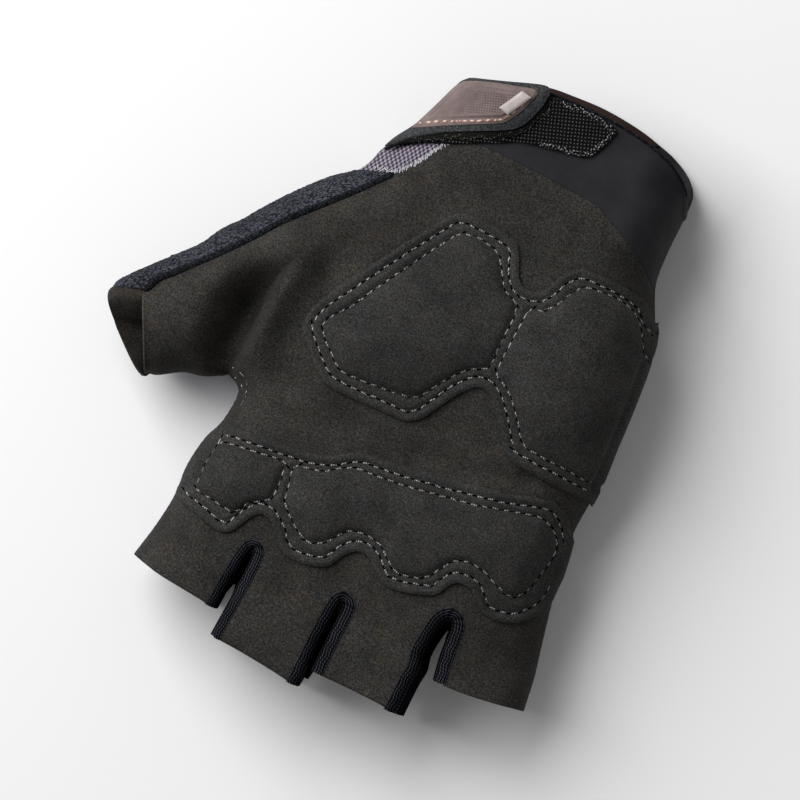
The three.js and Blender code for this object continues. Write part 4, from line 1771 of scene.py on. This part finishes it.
@dataclass
class Fourchette:
    """A corded strip that lines one slit: a bound edge on the palm and the side walls.

    Args:
        name: name of the piece.
        slit: the slit that it lines.
        cords: number of cords along the bound edge.
        cord_height: how far each stands proud.
        twist: length of one turn of a cord.
        low: height of the wall's foot.
        columns: places across the bound edge.
        wall_rows: places down the side wall.
        wall: thickness of the strip.
    """

    name: str
    slit: Slit
    cords: int = 4
    cord_height: float = 0.26
    twist: float = 0.8
    low: float = 5.5
    columns: int = 41
    wall_rows: int = 14
    wall: float = 0.7

    def build(self) -> Piece:
        """Carries a profile along the slit: over the bound edge, then down the side wall.

        The bound edge rises as half a sine from the suede to the slit. Its cords are a rectified
        cosine across, and their twist is a small sine along the path whose phase runs on across
        the band. The wall falls to its foot, which stands out from the upper edge, and above the
        gap the foot of both walls draws in to the gap as a sloping web.

        Returns:
            The dressed piece.
        """
        slit = self.slit
        path = slit.path(0.22)
        along = np.gradient(path, axis=0)
        along /= np.linalg.norm(along, axis=1, keepdims=True)
        outward = np.column_stack([-along[:, 1], along[:, 0]])
        step = np.concatenate([[0], np.cumsum(np.linalg.norm(np.diff(path, axis=0), axis=1))])
        share = np.linspace(0, 1, self.columns)
        out = (slit.band + 0.3) * (1 - share)
        roll = 0.5 * np.sin(share * math.pi * 0.62) - 0.25 * share**4
        cord = np.abs(np.cos(share * self.cords * math.pi))
        phase = step[:, None] * 2 * math.pi / self.twist + share[None, :] * self.cords * 7.5
        turns = 0.7 + 0.3 * np.sin(phase)
        ripple = self.cord_height * cord[None, :] * turns
        calm = ease(np.abs(step - step[np.argmax(path[:, 1])]), 3.0, 6.0)
        sway = 0.2 * (calm * np.sin(step * 1.6))[:, None] * np.sin(share * math.pi)[None, :]
        plan = path[:, None, :] + outward[:, None, :] * (out[None, :] + sway)[..., None]
        x, y = plan[..., 0], plan[..., 1]
        band = np.stack([x, y, FORM.top(x, y) + roll + ripple + 0.15], -1)
        fall = np.linspace(0, 1, self.wall_rows + 1)[1:]
        foot = self.foot(path, step)
        bulge = (fall ** 0.7)[None, :, None]
        wall_plan = path[:, None, :] * (1 - bulge) + foot[:, None, :] * bulge
        top = band[:, -1:, 2]
        wall = np.concatenate([wall_plan, (top + (self.low - top) * fall)[..., None]], -1)
        whole = np.concatenate([band, wall], 1)
        piece = make_mesh(self.name, whole.reshape(-1, 3), grid_faces(len(path), whole.shape[1]))
        # This value sets both the colour and the bump of the binding. On the band, the cords' tops take
        # the light colour, a painted highlight that waxes and wanes with the twist. The grooves between
        # them take the deep colour, which is painted shade. The side walls get one flat value, a little
        # darker than the band's main colour.
        shade = np.full(whole.shape[:2], 0.42)
        shade[:, :self.columns] = cord * (1.1 * turns - 0.1)
        raised = piece.data.attributes.new("raised", "FLOAT", "POINT")
        raised.data.foreach_set("value", shade.astype(np.float32).ravel())
        thicken(piece, self.wall)
        dress(piece, BINDING_PAINTED_LIGHT, "rib_binding", "fourchette_" + self.name.removeprefix("binding_"))
        return piece

    def foot(self, path: Array, step: Array) -> Array:
        """Lays the foot of the wall on the plan, one place for each place of the path.

        Args:
            path: places of the slit's edge.
            step: length along the path at each place.

        Returns:
            Plan places of the foot.
        """
        slit = self.slit
        middle = int(np.argmax(path[:, 1]))
        side = np.where(np.arange(len(path)) < middle, slit.foot_left, -slit.foot_right)
        near = ease(np.abs(step - step[middle]), 1.0, 4.0)
        foot = path + np.column_stack([side * near, np.zeros(len(path))])
        centre = 0.5 * (np.interp(slit.gap, path[:middle, 1], foot[:middle, 0])
                        + np.interp(-slit.gap, -path[middle:, 1], foot[middle:, 0]))
        lowered = np.minimum(foot[:, 1], slit.gap)
        pull = ease(path[:, 1], slit.gap - 3.0, slit.gap + 1.0)
        x = foot[:, 0] * (1 - pull) + (centre + 0.1 * np.sign(foot[:, 0] - centre)) * pull
        return np.column_stack([x, lowered])


@dataclass
class Layer:
    """A flat cut piece laid over the cuff: the tape, the hook layer, the tab, the badge or the tile.

    Args:
        name: name of the piece.
        node: the solid that it stands for, if it stands for one.
        sides: its bottom, right, top and left on the plan, as seen from above.
        lift: height of its top over the form.
        wall: thickness.
        finish: its material.
        slot: material slot.
        crown: extra height of its middle.
        soft: distance over which the edge falls away.
        rows: places along the left and right sides.
        columns: places along the bottom and top.
        relief: further height, from a plan place and its distance from the edge.
        detail: how many steps each step of the grid is cut into for the relief.
        flat: width and length of its cut in metres, if it is cloth; not used.
        area: area of its cut in square metres; not used.
        crown_width: distance from the edge over which the crown rises.
        edge_drop: how far the edge falls, as a share of the thickness.
    """

    name: str
    node: str
    sides: Sequence[Points]
    lift: float
    wall: float
    finish: Finish
    slot: str
    crown: float = 0.0
    soft: float = 0.5
    rows: int = 60
    columns: int = 90
    relief: Callable[[Array, Array, Array], Array] | None = None
    detail: int = 1
    flat: Pair | None = None
    area: float | None = None
    crown_width: float = 2.5
    edge_drop: float = 0.35

    def __post_init__(self) -> None:
        """Draws the outline."""
        bottom, right, top, left = (smooth_line(side, 0.3) for side in self.sides)
        self.outline = np.vstack([bottom, right, top[::-1], left[::-1]])

    def height(self, x: Array, y: Array) -> Array:
        """Keeps the lift, crowned in the middle and rounded off at the edge.

        Args:
            x: plan places.
            y: plan places.

        Returns:
            Height over the form.
        """
        away = distance(x, y, self.outline, closed=True)
        crown = self.crown * (1 - np.exp(-away / self.crown_width))
        edge = np.exp(-(away / self.soft)**2)
        return self.lift + crown - self.edge_drop * self.wall * edge

    def build(self) -> Piece:
        """Fills the outline, lifts it so that it is seen where it is drawn, and adds the relief.

        Returns:
            The dressed piece.
        """
        plan = four_sided(self.sides, self.columns, self.rows)
        points = FORM.seen(plan[..., 0], plan[..., 1], self.height)
        if self.relief is not None:
            plan, points = (refined(grid, self.detail) for grid in (plan, points))
            normal = np.cross(np.gradient(points, axis=0), np.gradient(points, axis=1))
            normal /= np.linalg.norm(normal, axis=-1, keepdims=True)
            x, y = plan[..., 0], plan[..., 1]
            away = distance(x, y, self.outline, closed=True)
            points = points + normal * self.relief(x, y, away)[..., None]
        piece = joined(self.name, [points])
        thicken(piece, self.wall)
        dress(piece, self.finish, self.slot, *([self.node] if self.node else []))
        return piece


@dataclass
class Closure:
    """The fastened wrist closure: loop tape, hook layer, felt tab, moulded badge, tile and threads.

    Args:
        rim: width of the badge's sewn flange.
        step: height of its middle over the flange.
        pitch: distance between the pits of its grid.
        pit: depth of a pit.
        slant: angle of the grid on the plan, in degrees.
        faded: x over which the pits fade in.
    """

    rim: float = 1.7
    step: float = 0.45
    pitch: float = 0.62
    pit: float = 0.24
    slant: float = 22.0
    faded: Pair = (-23.0, -20.0)

    def badge_relief(self, x: Array, y: Array, away: Array) -> Array:
        """Raises the badge's middle over its flange and presses a grid of small pits into it.

        The step is a smooth rise with the distance from the edge. The pits are the product of two
        raised cosines, along the badge and across it, and they fade out towards the -X end.

        Args:
            x: plan places.
            y: plan places.
            away: distance inward from the badge's edge.

        Returns:
            Height over the badge's own lift.
        """
        raised = self.step * ease(away, self.rim - 0.45, self.rim + 0.35)
        waves = []
        for angle in (math.radians(self.slant), math.radians(self.slant + 90)):
            line = x * math.cos(angle) + y * math.sin(angle)
            waves.append(0.5 + 0.5 * np.cos(2 * math.pi * line / self.pitch))
        area = ease(away, self.rim + 0.3, self.rim + 0.8) * ease(x, *self.faded)
        return raised - self.pit * area * waves[0] * waves[1]

    def stepped(self, x: float, y: float) -> Pair:
        """Moves a place of the tab's edge to the hook layer's, less so towards the -X corner."""
        share = min(1.0, max(0.25, (x + 33) / 8))
        return (x + 0.9 * share, y - 1.5 * share)

    def hook_relief(self, x: Array, y: Array, away: Array) -> Array:
        """Makes the hook layer uneven, as a sum of two crossed sines."""
        return 0.12 * np.sin(x * 7.1 + y * 2.3) * np.sin(y * 6.3 - x * 1.7)

    def build(self) -> None:
        """Stacks the layers on the cuff and sews them."""
        tape = Layer("loop_band", "loop_tape", TAPE_SIDES, 1.15, 0.8, LOOP_CLOTH, "loop_tape",
                     flat=(0.052, 0.022), area=0.00071)
        hooks = [tuple(self.stepped(x, y) for x, y in side) for side in TAB_SIDES]
        hook = Layer("hook_layer", "", hooks, 1.9, 0.7, HOOK_CLOTH, "loop_tape", relief=self.hook_relief,
                     flat=(0.036, 0.020), area=0.00051)
        tab = Layer("felt_tab", "closure_tab", TAB_SIDES, 3.0, 1.2, TAB_FELT, "tab_felt",
                    crown=0.35, soft=0.9, flat=(0.036, 0.020), area=0.00048)
        badge = Layer("moulded_badge", "closure_badge", BADGE_SIDES, 3.75, 0.7, BADGE, "badge_rubber",
                      crown=0.1, soft=0.35, columns=64, rows=48, relief=self.badge_relief, detail=4)
        tile = Layer("light_tile", "badge_tile", TILE_SIDES, 4.75, 0.7, TILE_FINISH, "tile_plastic",
                     crown=0.1, soft=0.3, columns=24, rows=40)
        for layer in (tape, hook, tab, badge, tile):
            piece = layer.build()
        self.sew(tape, hook, badge)

    def sew(self, tape: Layer, hook: Layer, badge: Layer) -> None:
        """Lays the badge's peach stitches, the tape's fuzzy white ones and the hook layer's fibres.

        Args:
            tape: the woven tape.
            hook: the hook layer.
            badge: the moulded badge.
        """
        Stitching("badge_thread", PEACH_THREAD, "badge_rubber", 1.85, 2.1, 0.6, holes=False,
                  stray=0.05, turn=4, as_seen=True).build([smooth_line(BADGE_ROW, 0.4)], badge.height)
        fuzz = Stitching("tape_fuzz", FUZZ_THREAD, "mesh_cloth", 0.55, 0.36, 0.2, holes=False,
                         stray=0.55, turn=85, uneven=0.4, seed=5, as_seen=True)
        top, right = smooth_line(TAPE_SIDES[2][3:], 0.4), smooth_line(TAPE_SIDES[1], 0.4)
        bottom = smooth_line(TAPE_SIDES[0][7:], 0.4)
        middle = np.array([6.0, 76.5])
        drawn = [line + 0.10 * (middle - line) for line in (top, right, bottom)]
        fuzz.build(drawn, tape.height)
        fibres = Stitching("hook_fibres", HOOK_THREAD, "mesh_cloth", 0.8, 0.55, 0.13, holes=False,
                           stray=0.7, turn=85, uneven=0.4, seed=8, as_seen=True)
        low = smooth_line([(x + 0.6, y - 1.3) for x, y in TAB_SIDES[0][2:]], 0.4)
        side = smooth_line([(x + 1.2, y - 0.6) for x, y in TAB_SIDES[1]], 0.4)
        fibres.build([low, side], hook.height)


@dataclass
class Piping:
    """A rolled edge along a seam, as a round section carried along the form.

    Args:
        name: name of the piece.
        line: the seam on the plan.
        radius: of the roll.
        lift: height of its middle over the form.
        finish: its material.
        slot: material slot.
        sides: places round it.
    """

    name: str
    line: Points
    radius: float
    lift: float
    finish: Finish
    slot: str
    sides: int = 10

    def build(self) -> Piece:
        """Carries a circle along the seam, and draws it in at both ends.

        Returns:
            The dressed piece.
        """
        path = smooth_line(self.line, 0.5)
        height = FORM.top(path[:, 0], path[:, 1]) + self.lift
        centre = np.column_stack([path, height])
        along = np.gradient(centre, axis=0)
        along /= np.linalg.norm(along, axis=1, keepdims=True)
        side = np.cross([0.0, 0.0, 1.0], along)
        side /= np.linalg.norm(side, axis=1, keepdims=True)
        up = np.cross(along, side)
        around = np.linspace(0, 2 * math.pi, self.sides, endpoint=False)
        ends = np.minimum(1, np.minimum(np.arange(len(path)), np.arange(len(path))[::-1]) / 2 + 0.05)
        reach = (self.radius * ends)[:, None, None]
        points = (centre[:, None, :] + reach * (np.cos(around)[None, :, None] * side[:, None, :]
                                                + np.sin(around)[None, :, None] * up[:, None, :]))
        faces = grid_faces(len(path), self.sides, closed=True)
        piece = make_mesh(self.name, points.reshape(-1, 3), faces)
        dress(piece, self.finish, self.slot)
        return piece


def close(x: Array, y: Array) -> Array:
    """Lays thread straight on the suede."""
    return np.full_like(x, THREAD_LIFT)


# Stage

def add_light(name: str, place: Triple, size: float, power: float) -> None:
    """Hangs a square soft light that points at the mitt.

    Args:
        name: name of the light.
        place: where it hangs, in metres.
        size: side of the square in metres.
        power: its power in watts.
    """
    lamp = bpy.data.lights.new(name, "AREA")
    lamp.size = size
    lamp.energy = power
    holder = bpy.data.objects.new(name, lamp)
    bpy.context.collection.objects.link(holder)
    holder.location = place
    direction = np.array(LIGHT_AIM) - np.array(place)
    tilt = math.atan2(math.hypot(direction[0], direction[1]), -direction[2])
    holder.rotation_euler = (tilt, 0, math.atan2(-direction[0], direction[1]))


def add_stage() -> None:
    """Lays the pale floor, the lights and the camera over the palm."""
    bpy.ops.mesh.primitive_plane_add(size=FLOOR_SIDE, location=(0, 0, -FLOOR_DROP))
    floor = bpy.context.object
    floor.name = "floor"
    paper = bpy.data.materials.new("pale_floor")
    paper.use_nodes = True
    shader = paper.node_tree.nodes["Principled BSDF"]
    shader.inputs["Base Color"].default_value = (FLOOR_TONE, FLOOR_TONE, FLOOR_TONE, 1)
    shader.inputs["Roughness"].default_value = FLOOR_ROUGHNESS
    floor.data.materials.append(paper)
    world = bpy.data.worlds.new("studio")
    world.use_nodes = True
    sky = world.node_tree.nodes["Background"]
    sky.inputs["Color"].default_value = (1, 1, 1, 1)
    sky.inputs["Strength"].default_value = WORLD_STRENGTH
    bpy.context.scene.world = world
    add_light("key", KEY_PLACE, KEY_SIDE, KEY_POWER)
    bpy.context.scene.view_settings.view_transform = "Standard"
    add_camera()


def add_camera() -> None:
    """Looks straight down on the palm, turned by the photo's roll.

    The image's right is the plan's (cos, sin) of the roll, and its up is (-sin, cos).
    """
    camera = bpy.data.cameras.new("camera")
    camera.sensor_width = SENSOR
    width = IMAGE_SIDE * MM_PER_PIXEL * MM
    camera.lens = SENSOR * CAMERA_HEIGHT / width
    holder = bpy.data.objects.new("camera", camera)
    bpy.context.collection.objects.link(holder)
    middle = PLAN_ZERO * MM
    holder.location = (middle[0], middle[1], CAMERA_HEIGHT + PALM_LEVEL)
    holder.rotation_euler = (0, 0, math.radians(CAMERA_ROLL))
    camera.clip_end = CAMERA_REACH
    bpy.context.scene.camera = holder


def main() -> None:
    """Builds the mitt piece by piece on its form."""
    logging.basicConfig(level=logging.INFO, format="%(message)s")
    palm = PalmPanel()
    suede = palm.build()
    knit = BackPanel().build(palm)
    terry = ThumbWipe().build()
    cuff = Cuff().build()
    for name, slit in SLITS.items():
        Fourchette("binding_" + name, slit).build()
    heel = Overlay("heel_pads", "heel_overlay", HEEL_TOP, HEEL_BOTTOM, (THENAR_CELL, HYPOTHENAR_CELL))
    knuckle = Overlay("knuckle_pads", "knuckle_overlay", KNUCKLE_TOP, KNUCKLE_BOTTOM,
                      (INDEX_CELL, LONG_CELL), columns=240)
    for overlay in (heel, knuckle):
        overlay.build()
        thread = Stitching(overlay.name + "_thread", GREY_THREAD, "mesh_cloth")
        thread.build(overlay.stitch_rows(), overlay.height)
    Closure().build()
    Piping("terry_roll", (*TERRY_SEAM, *TERRY_SEAM_END[1:]), 0.95, 0.1, DARK_ROLL, "terry").build()
    Piping("cuff_edge", CUFF_END_NEAR[1:-1], 0.34, 0.4, DARK_ROLL, "cuff_cloth").build()
    # The cut edge's lighter colour is partly a painted highlight.
    Piping("thumb_cut_edge", THUMB_CREASE, 0.28, -0.05, CUT_SUEDE_AND_HIGHLIGHT, "suede").build()
    raw = Stitching("patch_fringe", WHITE_THREAD, "mesh_cloth", 1.4, 0.38, 0.28, holes=False, stray=0.3,
                    turn=26, lean=62, seed=11)
    raw.build([smooth_line(row, 0.4) for row in FRINGE_ROWS], close)
    crotch = Stitching("thumb_crotch_thread", GREY_THREAD, "mesh_cloth", width=0.32, holes=False,
                       stray=0.3)
    crotch.build([smooth_line(row, 0.4) for row in CROTCH_ROWS], close)
    add_stage()


if __name__ == "__main__":
    main()
